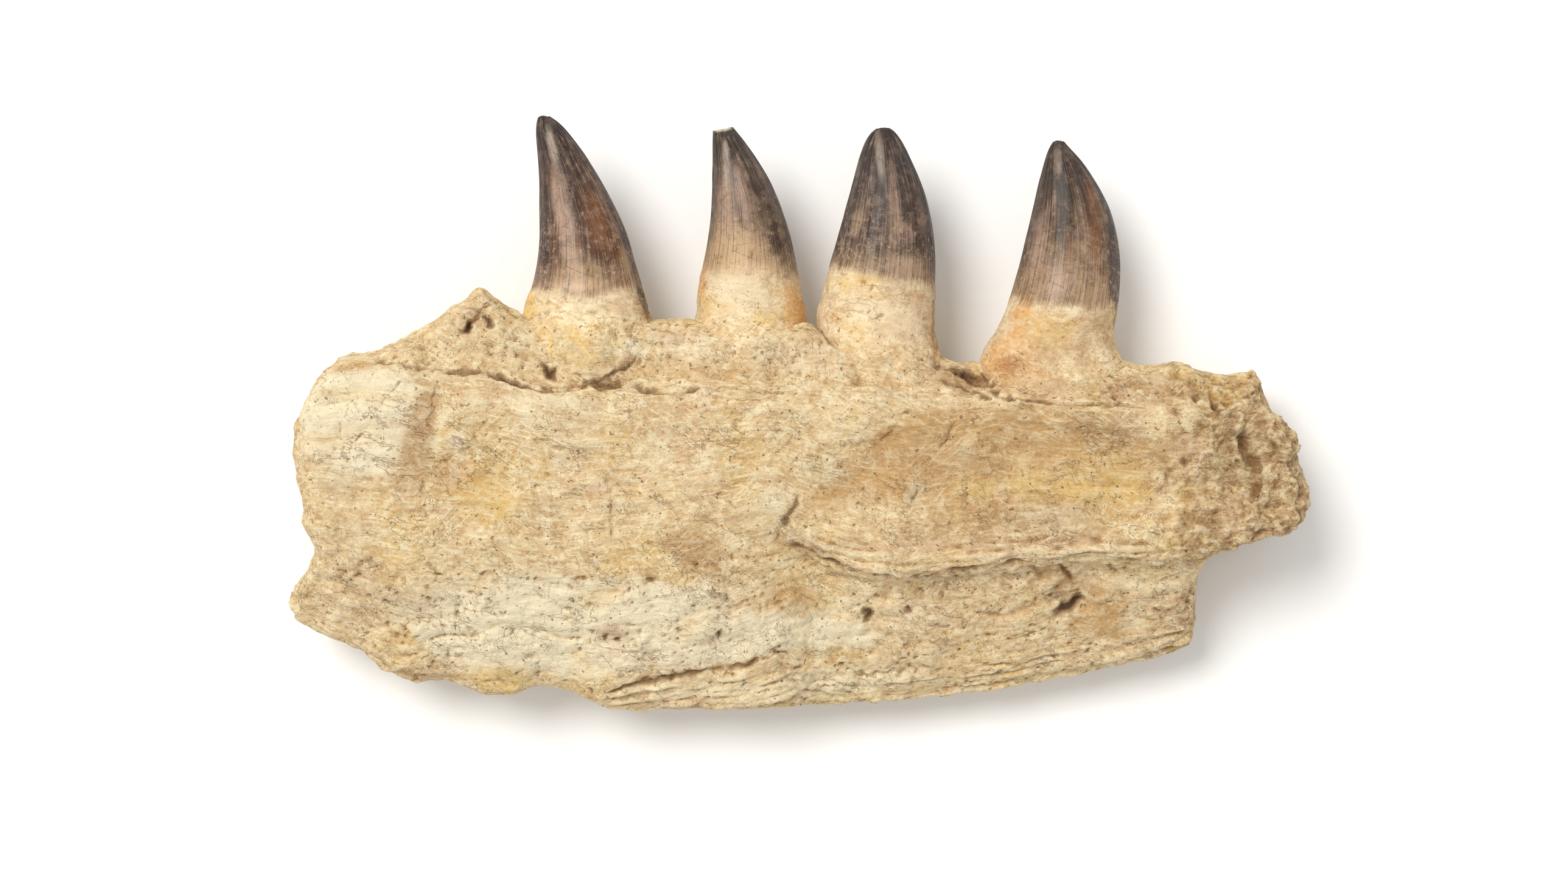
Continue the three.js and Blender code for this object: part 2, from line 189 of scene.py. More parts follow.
CRACKS = {
    "ledge": (
        [(-121, 15.9), (-115.8, 15.8), (-105, 13.4), (-96.3, 12.2), (-84.8, 12.2), (-80.8, 10.9),
         (-76.2, 9.1), (-70.5, 7.6), (-65.3, 7.3), (-56.2, 8.3), (-44.7, 8.6)],
        1.6, 0.9, 0.55,
    ),
    "ledge_dark": ([(-82, 11.6), (-76, 9), (-70.5, 7.4), (-65, 7.4)], 1.2, 0.8, 0.85),
    "ledge_right": ([(-46, 8.5), (-41, 7.4), (-36.3, 6.2), (-32.5, 6), (-25, 7.6)], 1.5, 0.9, 0.6),
    "ledge_end": ([(-25, 7.4), (-8, 6.4), (10, 6.4), (24.8, 5.8), (31.2, 4.3), (40, 4.4)],
                  0.5, 0.8, 0.2),
    "shelf": ([(53, 5.6), (60.5, 4.1), (72.2, 2.8), (86.7, 2.4), (93, 2.2)], 1.0, 0.7, 0.5),
    "mound_left": ([(-71, 16.2), (-68.6, 12.6), (-66, 10.2), (-64.4, 8.4)], 1.4, 0.7, 0.95),
    "mound_right": ([(-59, 8.1), (-55, 8.9), (-51, 10.2), (-46, 13), (-41.5, 17.2)],
                    0.9, 0.5, 0.8),
    "peak": ([(-82.8, 31.4), (-85.6, 29), (-86.2, 26.6), (-88.7, 25.2), (-89.5, 22.9),
              (-91.8, 20.6)], 1.4, 0.6, 1.0),
    "peak_branch": ([(-86.2, 26.8), (-83.6, 25.6), (-82.4, 23)], 1.2, 0.7, 0.8),
    "gap_upper": ([(36.8, 15), (41, 13.6), (45.6, 12.2), (49.6, 9.4), (52.4, 6.4)],
                  1.5, 1.2, 0.85),
    "gap_right": ([(49.8, 14), (51.2, 10.4), (53.4, 6.6), (55.6, 4.6)], 1.2, 0.7, 0.75),
    "gap_lower": ([(37, 9.8), (43, 8.2), (50, 5.3), (55, 4.2)], 0.8, 0.5, 0.6),
    "basin_edge_1": ([(33, 3.2), (27.6, -1.4), (24.8, -5.6), (21, -8.4)], 0.4, 0.4, 0.4),
    "basin_edge_2": ([(17, -10.4), (12.5, -13.4), (6.5, -16.2)], 0.35, 0.4, 0.35),
    "basin_left": ([(0.9, -20), (0.4, -23.9), (-2.6, -28.4), (-4.6, -32.4), (-7.6, -35.4)],
                   0.8, 0.6, 0.6),
    "basin_split_1": ([(42.7, -2.3), (41, -6), (38.3, -9.9)], 0.5, 0.45, 0.5),
    "basin_split_2": ([(33, -18), (32.2, -21.6), (30, -25)], 0.4, 0.4, 0.5),
    "basin_split_3": ([(45.7, -15.1), (46.4, -21), (45.6, -28.4)], 0.5, 0.5, 0.5),
    "basin_split_4": ([(56, -17), (57.4, -22.6), (56.4, -27)], 0.4, 0.5, 0.35),
    "basin_split_5": ([(104, -12), (100, -17), (98, -24)], 0.5, 0.7, 0.4),
    "overhang_1": ([(-3.4, -34.6), (2, -36.2), (6.2, -39.4), (13.6, -42.2)], 1.0, 0.7, 0.7),
    "overhang_2": ([(19, -43.8), (29.5, -45.4), (41.7, -44.6)], 1.0, 0.7, 0.5),
    "overhang_3": ([(56, -40.6), (62.8, -42.2), (69, -46.4)], 1.3, 1.1, 0.8),
    "overhang_6": ([(40, -43.4), (46, -43.6), (51, -41.6)], 1.0, 0.6, 0.7),
    "overhang_7": ([(70, -41.2), (74, -43.8), (76, -47)], 1.2, 0.6, 0.7),
    "overhang_4": ([(69.4, -55), (74.4, -53.4), (79.4, -49.4)], 2.0, 1.7, 1.0),
    "overhang_5": ([(84, -40.2), (93, -41.4), (101, -40.6)], 0.7, 0.6, 0.4),
    "low_spot": ([(17.6, -52.6), (19.6, -55), (19, -57.4)], 1.2, 0.9, 0.9),
    "strip": (
        [(-52.7, -76.1), (-37.2, -73.3), (-28.8, -71.3), (-14, -68.9), (-7.5, -66.4),
         (-1.2, -65.1)],
        1.0, 0.7, 0.6,
    ),
    "strip_end": ([(14, -72.8), (24.3, -71.1), (32, -70.2), (40, -69.6)], 0.8, 0.6, 0.6),
    "left_1": ([(-105.4, 10.4), (-110, 5.5), (-115.3, -1.6), (-120.6, -9.6)], 0.3, 0.4, 0.45),
    "left_2": ([(-97.4, 9.4), (-98.5, 3), (-100.6, -9.6)], 0.3, 0.4, 0.4),
    "left_3": ([(-79.7, 4.6), (-86, -5), (-92.3, -13.6)], 0.3, 0.4, 0.4),
    "left_4": ([(-122.6, 2.6), (-123.6, -3.6), (-122.4, -9)], 0.25, 0.35, 0.35),
    "hairline": ([(-50.5, -20), (-50.2, -29), (-50.5, -37.6)], 0.35, 0.35, 0.5),
    "end_groove": ([(122.6, -1.4), (121.2, -6.6), (123.2, -12), (125, -16.8), (123.4, -22.6)],
                   1.4, 1.4, 0.45),
    "end_crack": ([(112.4, 6), (114.6, 1.6), (113.2, -3.4)], 1.0, 0.8, 0.6),
}

# The fine cuts of the bone: how much a face looks up to be cut, and how many times the facets
# are evened out before and after

CUT_TILT = 0.28
COARSE_ROUNDS = 2
FINE_ROUNDS = 3

# The copy of a root that the bone closes round: how far above the gum its top is, the depth
# over which it swells, and its swell at the top and at full depth, in millimetres

STUB_TOP = 2
STUB_DEPTH = 7
STUB_SWELL = (-0.5, 1.0)

# The sides of the bone are roughest at its two broken ends: this far from the middle along X
# they start to be, and this far they are fully, in millimetres

BROKEN_START = 100
BROKEN_FULL = 124

# The breadth of the ridges beside the lines of the bone, in millimetres

RIDGE_BREADTH = 1.7

# Cracks wander by this much, in waves of this size, and fade over this length at their ends

CRACK_WANDER = 0.9
CRACK_WAVE = 3.2
CRACK_FADE = 4.0
PIT_DARKNESS = 0.85

# Where a stain starts and where it is full, as minus the reach from its middle

STAIN_START = -1.45
STAIN_FULL = -0.35

# The masks are kept within this value

MASK_LIMIT = 4

# Vertices below this height rest on the floor and stay, in millimetres

RESTING_HEIGHT = 0.02

# The usual height of the inner face between its two long lines, in millimetres

FACE_HEIGHT = 46

# The point of the rim beside the first tooth: its place, reach and rise

PEAK = (-87.2, 34.6)
PEAK_REACH = (2.4, 3.2)
PEAK_RISE = 1.6

# Single pits: place, depth and radius, in millimetres

PITS = [
    (-39.7, -45.3, 1.2, 0.9), (-45.7, -47.4, 0.7, 0.8), (-52.3, -61.4, 1.1, 1.0),
    (-48.6, -62, 0.9, 0.9), (-21.2, -59.9, 0.9, 1.1), (30.4, -53.6, 1.0, 1.2),
    (85, -41.8, 1.1, 1.0), (-66.6, 11.8, 1.5, 1.2), (-57.4, 8.8, 0.9, 0.7),
    (-27.4, -41, 0.9, 0.8), (108.4, 4.4, 1.1, 1.1), (104.6, -13, 0.9, 1.2),
]

# Stains on the inner face, as soft ovals: colour, x, y, half length, half breadth, strength
# and, where it has one, the turn in degrees

STAINS = [
    ("chalk", -120, -2, 17, 16, 0.7), ("chalk", -122, 2, 14, 11, 0.7),
    ("chalk", -118, -10, 14, 8, 0.6, 20), ("chalk", -109, 5, 7, 7, 0.75),
    ("umber", -101.5, -5, 17, 4, 0.7, 78), ("gold", -118, 5, 17, 2, 0.3, -4),
    ("umber", -115, -3, 13, 1.4, 0.24, 2), ("gold", -123, -7, 13, 2.6, 0.28, 3),
    ("ochre", -122, 14.4, 9, 3.2, 0.9), ("umber", -103.4, -14, 13, 4.6, 0.62, 80),
    ("ochre", -92, -2, 14, 1.6, 0.4, 78), ("chalk", -93, -7, 6, 3, 0.55, 10),
    ("umber", -124, -20, 14, 3, 0.4, -10), ("umber", -124, -30, 12, 5, 0.35, 5),
    ("ochre", -88, -17, 11, 6, 0.6), ("gold", -84, -24, 11, 8, 0.6),
    ("umber", -96, -16, 5, 6, 0.4), ("cream", -70, 3, 20, 4, 0.5),
    ("cream", -62, -9, 14, 4, 0.4), ("slate", -64, -13, 3, 2.4, 0.55),
    ("slate", -55, -1, 4, 5, 0.5), ("rose", -34, 3, 6, 3, 0.55),
    ("rose", -54, -20, 2.4, 2.6, 0.7), ("chalk", -38, -12, 5, 3, 0.6, 20),
    ("ochre", -35, -4, 22, 8, 0.3), ("ochre", -18, -12, 11, 9, 0.3),
    ("chalk", -27, -24, 4, 2.4, 0.45), ("ochre", -22, -31, 10, 6, 0.42, 10),
    ("umber", -28, -37, 12, 6, 0.62, -20), ("ochre", -27, -41, 6, 3, 0.3, 10),
    ("slate", -8, -29, 11, 8, 0.5, 10), ("chalk", -5, -22, 6, 4, 0.5, 10),
    ("umber", -1, -35, 9, 3, 0.5, -20), ("chalk", 0, 17, 56, 7, 0.3, -2),
    ("ochre", 18, -20, 19, 4.6, 0.9, 19), ("ochre", 34, -6, 17, 6, 0.78, 12),
    ("ochre", 54, -15, 42, 13, 0.8), ("umber", 40, -13, 16, 7, 0.55, 10),
    ("umber", 78, -13, 26, 8, 0.42), ("gold", 74, -14, 30, 7, 0.35),
    ("umber", 20, -17, 16, 6, 0.45, 22), ("umber", 66, 0, 34, 3, 0.45),
    ("orange", 62, 8, 13, 5, 0.7, -12), ("rose", 68, 6, 12, 4, 0.6, -8),
    ("rust", 58.4, 13, 4.4, 3.2, 0.75), ("umber", 86, 7, 9, 4, 0.5),
    ("umber", 62, -28, 38, 6, 0.4), ("ochre", 24, -17, 12, 3.4, 0.7, 16),
    ("umber", 44, -10, 20, 9, 0.4), ("ochre", 50, -8, 22, 8, 0.4),
    ("gold", 49, -20, 6, 3.6, 0.7), ("gold", 62, -18, 5.4, 7, 0.75),
    ("gold", 83, -21, 13, 4.4, 0.85), ("gold", 82, -28, 4, 3, 0.5),
    ("slate", 46, -11, 3.4, 3, 0.65), ("slate", 32, -21.6, 5, 2.4, 0.6, 66),
    ("slate", 70, -28, 13, 4, 0.45), ("umber", 55, -13, 17, 6, 0.4),
    ("umber", 60, -24, 12, 3, 0.3), ("umber", 84, -5, 14, 4.6, 0.65),
    ("umber", 97, -10, 6, 6, 0.45), ("umber", 61, -4, 6, 5, 0.35),
    ("rose", 108, -16, 8, 14, 0.45), ("umber", -87, 26, 5, 6, 0.5),
    ("chalk", -64, 19, 22, 6, 0.3), ("chalk", -34, 20, 14, 5, 0.3),
    ("gold", -62, 14, 8, 5, 0.45), ("ochre", -26, 12, 24, 3.6, 0.5),
    ("rose", -34, 22, 9, 4, 0.45), ("rose", 4, 17, 12, 5, 0.4), ("ochre", 24, 8.4, 14, 3, 0.4),
    # The umber oval at x 45, y 9.6, beside the third tooth's root, is painted shadow.
    ("umber", 45, 9.6, 9, 4, 0.75, -20), ("rose", 46, -36, 48, 3.4, 0.45, 2),
    ("umber", 40, -33, 40, 4, 0.45), ("umber", 101, 7, 14, 6, 0.6),
    ("chalk", -66, -58, 46, 15, 0.6, -6), ("chalk", -92, -62, 16, 8, 0.6, -24),
    ("chalk", 18, -56, 26, 7, 0.4, 4), ("chalk", -62, -54, 34, 10, 0.7, -4),
    ("chalk", -76, -63, 24, 8, 0.6, -14), ("chalk", -32, -50, 18, 6, 0.6),
    ("chalk", -12, -60, 18, 7, 0.75, 4), ("chalk", 10, -61, 12, 4.6, 0.65),
    ("chalk", -26, -66, 18, 4, 0.6, 8), ("gold", -81, -73, 9, 4, 0.8),
    ("umber", -102, -71, 9, 4, 0.45, 10), ("rust", -50, -60, 5, 3, 0.42),
    ("gold", -54, -50, 7, 3, 0.35, 10), ("ochre", -1, -50, 9, 4.6, 0.6),
    ("slate", -22, -60, 3, 4, 0.45), ("gold", -6, -75, 40, 4, 0.3, 2),
    ("cream", -6, -76, 42, 4, 0.6, 2), ("cream", 20, -72, 24, 4, 0.4, 4),
    ("ochre", 84, -54, 9, 9, 0.6, -20), ("umber", 71, -46, 11, 6, 0.7, -20),
    ("cream", 97, -46, 12, 4, 0.6), ("gold", 98, -44, 9, 3, 0.4),
    ("umber", 55, -50, 12, 6, 0.35, -10), ("umber", -110, -48, 16, 8, 0.3, -20),
]

# Where the crust on the right end starts and where it is full, in millimetres along X

CRUST_START = 92
CRUST_FULL = 124

# Where the dark crown ends on each tooth, in millimetres along Y at its left edge, its middle
# and its right edge, and how far up the crown it pales, how much, and how softly it ends

CROWN_BASE = {
    "tooth_1": (34.2, 33.2, 35),
    "tooth_2": (39, 38.6, 37),
    "tooth_3": (40.4, 36.6, 35.2),
    "tooth_4": (32, 29.2, 31),
}
CROWN_FADE = {
    "tooth_1": (0.3, 0.46, 0.035), "tooth_2": (0.42, 0.8, 0.085),
    "tooth_3": (0.26, 0.45, 0.045), "tooth_4": (0.5, 0.52, 0.022),
}

# Where the root of each tooth goes into the bone, in millimetres along Y, and how far above it
# the root still looks like bone

GUM_LINE = {"tooth_1": 24, "tooth_2": 22, "tooth_3": 16, "tooth_4": 12}
GUM_REACH = 9

# The middle of a tooth's end cap joins more edges than this. One tooth has a broken-off flat
# tip, whose rim is this sharp

POLE_EDGES = 10
BROKEN_TOOTH = "tooth_2"
TIP_CREASE = 0.6

# Stains on each tooth, given in the same way as the bone's. The pale ovals beside each tip are
# painted highlights.

TOOTH_STAINS = {
    "tooth_1": [
        # The long mauve streak down the first crown is partly its colour and partly a painted
        # highlight.
        ("mauve", -62.9, 51, 18, 2.8, 0.85, 101), ("painted_highlight", -66.8, 73.6, 6, 1.2, 0.6, 104),
        ("dusk", -58.6, 57, 18, 2, 0.75, 104), ("amber", -53.6, 51, 12, 3.8, 0.62, 106),
        ("fawn", -46.6, 41, 5, 1.2, 0.55, 104), ("dusk", -69.2, 52, 20, 2.1, 0.8, 93),
        ("dusk", -52, 40, 6, 2.4, 0.5, 100), ("mauve", -66, 36, 4, 1.6, 0.45),
        ("gold", -73.4, 29, 3.8, 5.4, 0.85), ("chalk", -59, 27.6, 7, 4, 0.6),
        ("umber", -42.6, 28.6, 4, 1.8, 0.75, 110), ("rose", -50, 29, 6, 3, 0.5),
        ("dusk", -42.2, 31, 6, 1.1, 0.75, 106), ("gold", -62, 20, 9, 5, 0.5),
        ("rose", -58, 35, 8, 1.6, 0.5), ("fawn", -59, 38, 8, 3.4, 0.4),
    ],
    "tooth_2": [
        ("fawn", -18, 45, 7.4, 8, 0.75), ("mauve", -19.4, 57, 3.4, 10, 0.6),
        ("dusk", -7.6, 53, 17, 4.4, 0.7, 110), ("mauve", -15, 60, 10, 1.6, 0.6, 100),
        ("painted_highlight", -19.2, 68.4, 8, 1.1, 0.6, 94), ("dusk", -22.4, 66, 11, 0.9, 0.5, 90),
        ("orange", -25.6, 36.4, 6, 1.8, 0.65, 94), ("orange", -0.6, 28, 8, 3.4, 0.9, 100),
        ("chalk", -15, 33, 7, 5, 0.55), ("gold", -8, 26, 6, 3, 0.5),
        ("rose", -12, 39, 6, 2.4, 0.4), ("gold", -22, 28, 6, 4, 0.4),
        ("fawn", -12, 32, 7, 4, 0.3), ("chalk", -20.4, 78.4, 3.4, 1, 0.8, 10),
    ],
    "tooth_3": [
        ("dusk", 23.6, 71, 8, 5, 0.6, 90), ("painted_highlight", 22.8, 70.4, 7, 1.2, 0.5, 94),
        # The long mauve streak down the third crown is partly its colour and partly a painted
        # highlight.
        ("mauve", 26.2, 55, 12, 2, 0.4, 92), ("dusk", 33, 56, 16, 2.6, 0.6, 100),
        ("rose", 17, 54, 8, 1.8, 0.36, 76), ("mauve", 29, 40.4, 8, 3.2, 0.6, -6),
        ("gold", 14.6, 36, 8.4, 2.8, 0.55), ("umber", 33, 31.4, 4, 2.6, 0.5),
        # The umber streak down the third root's right edge is painted shadow.
        ("umber", 37.8, 23, 9, 1.7, 0.75, 90), ("orange", 11, 26.6, 2.2, 2, 0.5),
        ("chalk", 20, 27, 7, 4, 0.5), ("gold", 16, 22, 8, 4, 0.4), ("rose", 26, 20, 10, 4, 0.45),
        ("rose", 27, 28, 10, 7, 0.35),
    ],
    "tooth_4": [
        ("painted_highlight", 71.6, 69.6, 5, 1.2, 0.45, 90), ("amber", 81, 53, 14, 2.4, 0.65, 96),
        ("dusk", 87.4, 42, 17, 3.4, 0.95, 94), ("mauve", 66, 46, 11, 2.6, 0.6, 80),
        ("mauve", 72, 36, 8, 4.6, 0.7, 90), ("dusk", 78, 60, 12, 2, 0.5, 104),
        ("amber", 74, 44, 9, 1, 0.4, 92), ("orange", 60, 24, 10, 3.2, 0.6, 64),
        ("rose", 64, 9, 14, 5, 0.7, -14), ("orange", 58, 15, 8, 6, 0.65, 40),
        ("orange", 66, 8, 14, 4, 0.6, -12), ("rust", 58.8, 13.8, 3.8, 2.8, 0.85),
        ("gold", 69, 23, 7, 6, 0.6), ("umber", 82, 24, 6, 7, 0.6), ("fawn", 72, 16, 12, 4, 0.4),
        ("umber", 71, 19, 12, 8, 0.35),
    ],
}

# The framing: the part's origin and the picture's middle, in pixels of the picture

PICTURE_WIDTH = 2576
PICTURE_MIDDLE = (1288, 725)
ORIGIN_PIXEL = (1308.5, 680.4)
PIXELS_PER_MM = 6
FRAMED_HEIGHT = 0.030
SENSOR_WIDTH = 36

# The stage: half the floor's breadth, the key light's direction, spread and colour, and the
# sky's colour

FLOOR_HALF = 4
KEY_DIRECTION = (-0.42, 0.4, 0.9)
KEY_SPREAD = 0.5
KEY_COLOUR = (1.0, 0.98, 0.95)
SKY_COLOUR = (1, 0.99, 0.975, 1)


def palette(scene):
    """Every colour of the bone and of the teeth, by its name."""
    return {
        name: tuple(getattr(group, name))
        for group in (scene.jaw_bone, scene.jaw_teeth)
        for name in group.__annotations__
        if hasattr(getattr(group, name), "__len__")
    }


# Mesh helpers


def merged_form(node):
    """A bmesh copy of a node, its loose triangles joined."""
    form = bmesh.new()
    form.from_mesh(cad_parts[node].data)
    bmesh.ops.remove_doubles(form, verts=form.verts, dist=1e-6)
    return form


def new_object(name, form):
    """A new object in the scene from a bmesh."""
    mesh = bpy.data.meshes.new(name)
    form.to_mesh(mesh)
    form.free()
    piece = bpy.data.objects.new(name, mesh)
    bpy.context.scene.collection.objects.link(piece)
    return piece


def apply_modifiers(piece):
    """The piece's mesh becomes what its modifiers make of it."""
    graph = bpy.context.evaluated_depsgraph_get()
    shaped = bpy.data.meshes.new_from_object(piece.evaluated_get(graph))
    old = piece.data
    piece.modifiers.clear()
    piece.data = shaped
    bpy.data.meshes.remove(old)
    shaped.name = piece.name


def read_vectors(mesh, what):
    """A vector of every vertex, as rows."""
    values = np.empty(len(mesh.vertices) * 3)
    mesh.vertices.foreach_get(what, values)
    return values.reshape(-1, 3)


def write_places(mesh, places):
    mesh.vertices.foreach_set("co", places.ravel())
    mesh.update()


def write_mask(mesh, name, values):
    """A value for every vertex that the materials can read."""
    layer = mesh.attributes.new(name, "FLOAT", "POINT")
    layer.data.foreach_set("value", np.clip(values, -MASK_LIMIT, MASK_LIMIT).astype(np.float32))


def write_tint(mesh, name, colours):
    """A colour for every vertex that the materials can read."""
    layer = mesh.attributes.new(name, "FLOAT_COLOR", "POINT")
    rows = np.column_stack([colours, np.ones(len(colours))])
    layer.data.foreach_set("color", rows.astype(np.float32).ravel())


def write_flow(mesh, flow):
    """A place for every vertex in which the grain runs straight."""
    layer = mesh.attributes.new("flow", "FLOAT_VECTOR", "POINT")
    layer.data.foreach_set("vector", (flow * MM).astype(np.float32).ravel())


# Fields over the surface


def ease(values, low, high):
    """From 0 at low to 1 at high, with soft ends."""
    share = np.clip((values - low) / (high - low), 0, 1)
    return share * share * (3 - 2 * share)


def along(line, x):
    """Height of a long line of the bone at each x."""
    points = np.array(line)
    return np.interp(x, points[:, 0], points[:, 1])


def soft_noise(places, size, octaves=3, stretch=(1, 1, 1), shift=0.0):
    """Soft noise about 0, with features of this size."""
    scaled = places / (np.array(stretch) * size) + shift
    return np.array([noise.fractal(place, 1.0, 2.0, octaves) for place in scaled.tolist()])


def pushed(places, amount, size, octaves, shifts):
    """Places pushed about along X and Y by soft noise."""
    moved = places.copy()
    for axis, shift in enumerate(shifts):
        moved[:, axis] += amount * soft_noise(places, size, octaves, shift=shift)
    return moved


def creased_noise(places, size, octaves=3, stretch=(1, 1, 1), shift=0.0):
    """Noise with round tops and sharp creases, from 0 upwards."""
    scaled = places / (np.array(stretch) * size) + shift
    return np.array([noise.turbulence(place, octaves, True) for place in scaled.tolist()])


def line_field(places, points):
    """Distance of each place from a line on the inner face, and a taper towards its ends."""
    nearest = np.full(len(places), np.inf)
    travel = np.zeros(len(places))
    covered = 0.0
    for start, end in zip(points, points[1:]):
        first = np.array(start, float)
        run = np.array(end, float) - first
        length = np.hypot(*run)
        share = np.clip((places[:, :2] - first) @ run / length ** 2, 0, 1)
        gap = places[:, :2] - first - share[:, None] * run
        distance = np.hypot(gap[:, 0], gap[:, 1])
        closer = distance < nearest
        nearest[closer] = distance[closer]
        travel[closer] = covered + share[closer] * length
        covered += length
    end_distance = np.minimum(travel, covered - travel)
    return nearest, ease(end_distance, -0.5, min(CRACK_FADE, covered / 3))


def stain_layer(places, stains, paints):
    """The stains laid over each other: a colour and a share for every place."""
    tint = np.tile(np.array([0.5, 0.5, 0.5]), (len(places), 1))
    share = np.zeros(len(places))
    for paint_name, x, y, half_length, half_breadth, strength, *turn in stains:
        angle = np.radians(sum(turn))
        run = (places[:, 0] - x) * np.cos(angle) + (places[:, 1] - y) * np.sin(angle)
        rise = (places[:, 1] - y) * np.cos(angle) - (places[:, 0] - x) * np.sin(angle)
        reach = np.hypot(run / half_length, rise / half_breadth)
        cover = strength * ease(-reach, STAIN_START, STAIN_FULL)
        total = cover + share * (1 - cover)
        part = cover / np.maximum(total, 1e-6)
        tint += (np.array(paints[paint_name]) - tint) * part[:, None]
        share = total
    return tint, share


def neighbour_mean(mesh, values, rounds):
    """Values smoothed over the mesh."""
    ends = np.empty(len(mesh.edges) * 2, int)
    mesh.edges.foreach_get("vertices", ends)
    ends = ends.reshape(-1, 2)
    count = np.bincount(ends.ravel(), minlength=len(values)) + 1.0
    smoothed = values.astype(float)
    for _ in range(rounds):
        total = smoothed.copy()
        np.add.at(total, ends[:, 0], smoothed[ends[:, 1]])
        np.add.at(total, ends[:, 1], smoothed[ends[:, 0]])
        smoothed = total / count
    return smoothed


# The bone


def root_stub(node):
    """The buried part of a tooth, swelling below the gum so that bone closes round it."""
    form = merged_form(node)
    top = (GUM_LINE[node] + STUB_TOP) * MM
    cut = bmesh.ops.bisect_plane(
        form,
        geom=form.verts[:] + form.edges[:] + form.faces[:],
        plane_co=(0, top, 0),
        plane_no=(0, 1, 0),
        clear_outer=True,
    )
    rim = [part for part in cut["geom_cut"] if isinstance(part, bmesh.types.BMEdge)]
    bmesh.ops.contextual_create(form, geom=rim)
    form.normal_update()
    for vertex in form.verts:
        depth = (top - vertex.co.y) / (STUB_DEPTH * MM)
        swell = np.interp(depth, (0, 1), STUB_SWELL)
        vertex.co += vertex.normal * float(swell) * MM
    return form


def bone_form():
    """The bone with its sockets closed round the roots."""
    form = merged_form(BONE)
    for node in TEETH:
        stub = root_stub(node)
        mesh = bpy.data.meshes.new("stub")
        stub.to_mesh(mesh)
        stub.free()
        form.from_mesh(mesh)
        bpy.data.meshes.remove(mesh)
    return form


def round_off(form, rounds):
    """Evens out the facets of a mesh."""
    for _ in range(rounds):
        bmesh.ops.smooth_vert(form, verts=form.verts, factor=0.5, use_axis_x=True,
                              use_axis_y=True, use_axis_z=True)


def refine_inner_face(piece, cuts):
    """Cuts the inner face and the rough end into finer faces."""
    form = bmesh.new()
    form.from_mesh(piece.data)
    round_off(form, COARSE_ROUNDS)
    form.normal_update()
    faces = [face for face in form.faces if face.normal.z > CUT_TILT]
    edges = {edge for face in faces for edge in face.edges}
    bmesh.ops.subdivide_edges(form, edges=list(edges), cuts=cuts, use_grid_fill=True)
    bmesh.ops.triangulate(form, faces=[face for face in form.faces if len(face.verts) > 4])
    round_off(form, FINE_ROUNDS)
    form.to_mesh(piece.data)
    form.free()


def grain_places(places):
    """Places in which the long lines of the bone run straight, for grain that follows them."""
    x = places[:, 0]
    ledge = along(LEDGE_LINE, x)
    lower = along(LOWER_LINE, x)
    share = (places[:, 1] - lower) / (ledge - lower)
    return np.column_stack([x, share * FACE_HEIGHT, places[:, 2]])


def crack_field(places):
    """How deep the cracks and pits cut each place, and how dark they are."""
    ragged = pushed(places, CRACK_WANDER, CRACK_WAVE, 3, (11.0, 29.0))
    whole = 0.5 + 0.5 * ease(soft_noise(places, 6.5, 2, shift=19.0), -0.3, 0.2)
    cut = np.zeros(len(places))
    dark = np.zeros(len(places))
    for points, depth, half_width, darkness in CRACKS.values():
        distance, taper = line_field(ragged, points)
        notch = np.exp(-(distance / (half_width * (0.5 + 0.7 * whole))) ** 2) * taper * whole
        valley = np.exp(-(distance / (3.2 * half_width)) ** 2) * taper
        cut = np.maximum(cut, depth * notch + 0.3 * depth * valley)
        dark = np.maximum(dark, darkness * (notch + 0.07 * valley))
    for pit_x, pit_y, depth, radius in PITS:
        reach = np.hypot(ragged[:, 0] - pit_x, ragged[:, 1] - pit_y) / radius
        notch = np.exp(-reach ** 2)
        cut = np.maximum(cut, depth * notch)
        dark = np.maximum(dark, PIT_DARKNESS * notch)
    return cut, dark


def ridges_along(places, line, length, shift):
    """Fine ridges that run beside a long line of the bone."""
    straight = np.column_stack([places[:, 0], places[:, 1] - line, places[:, 2]])
    return soft_noise(straight, RIDGE_BREADTH, 3, stretch=(length, 1, 1), shift=shift)


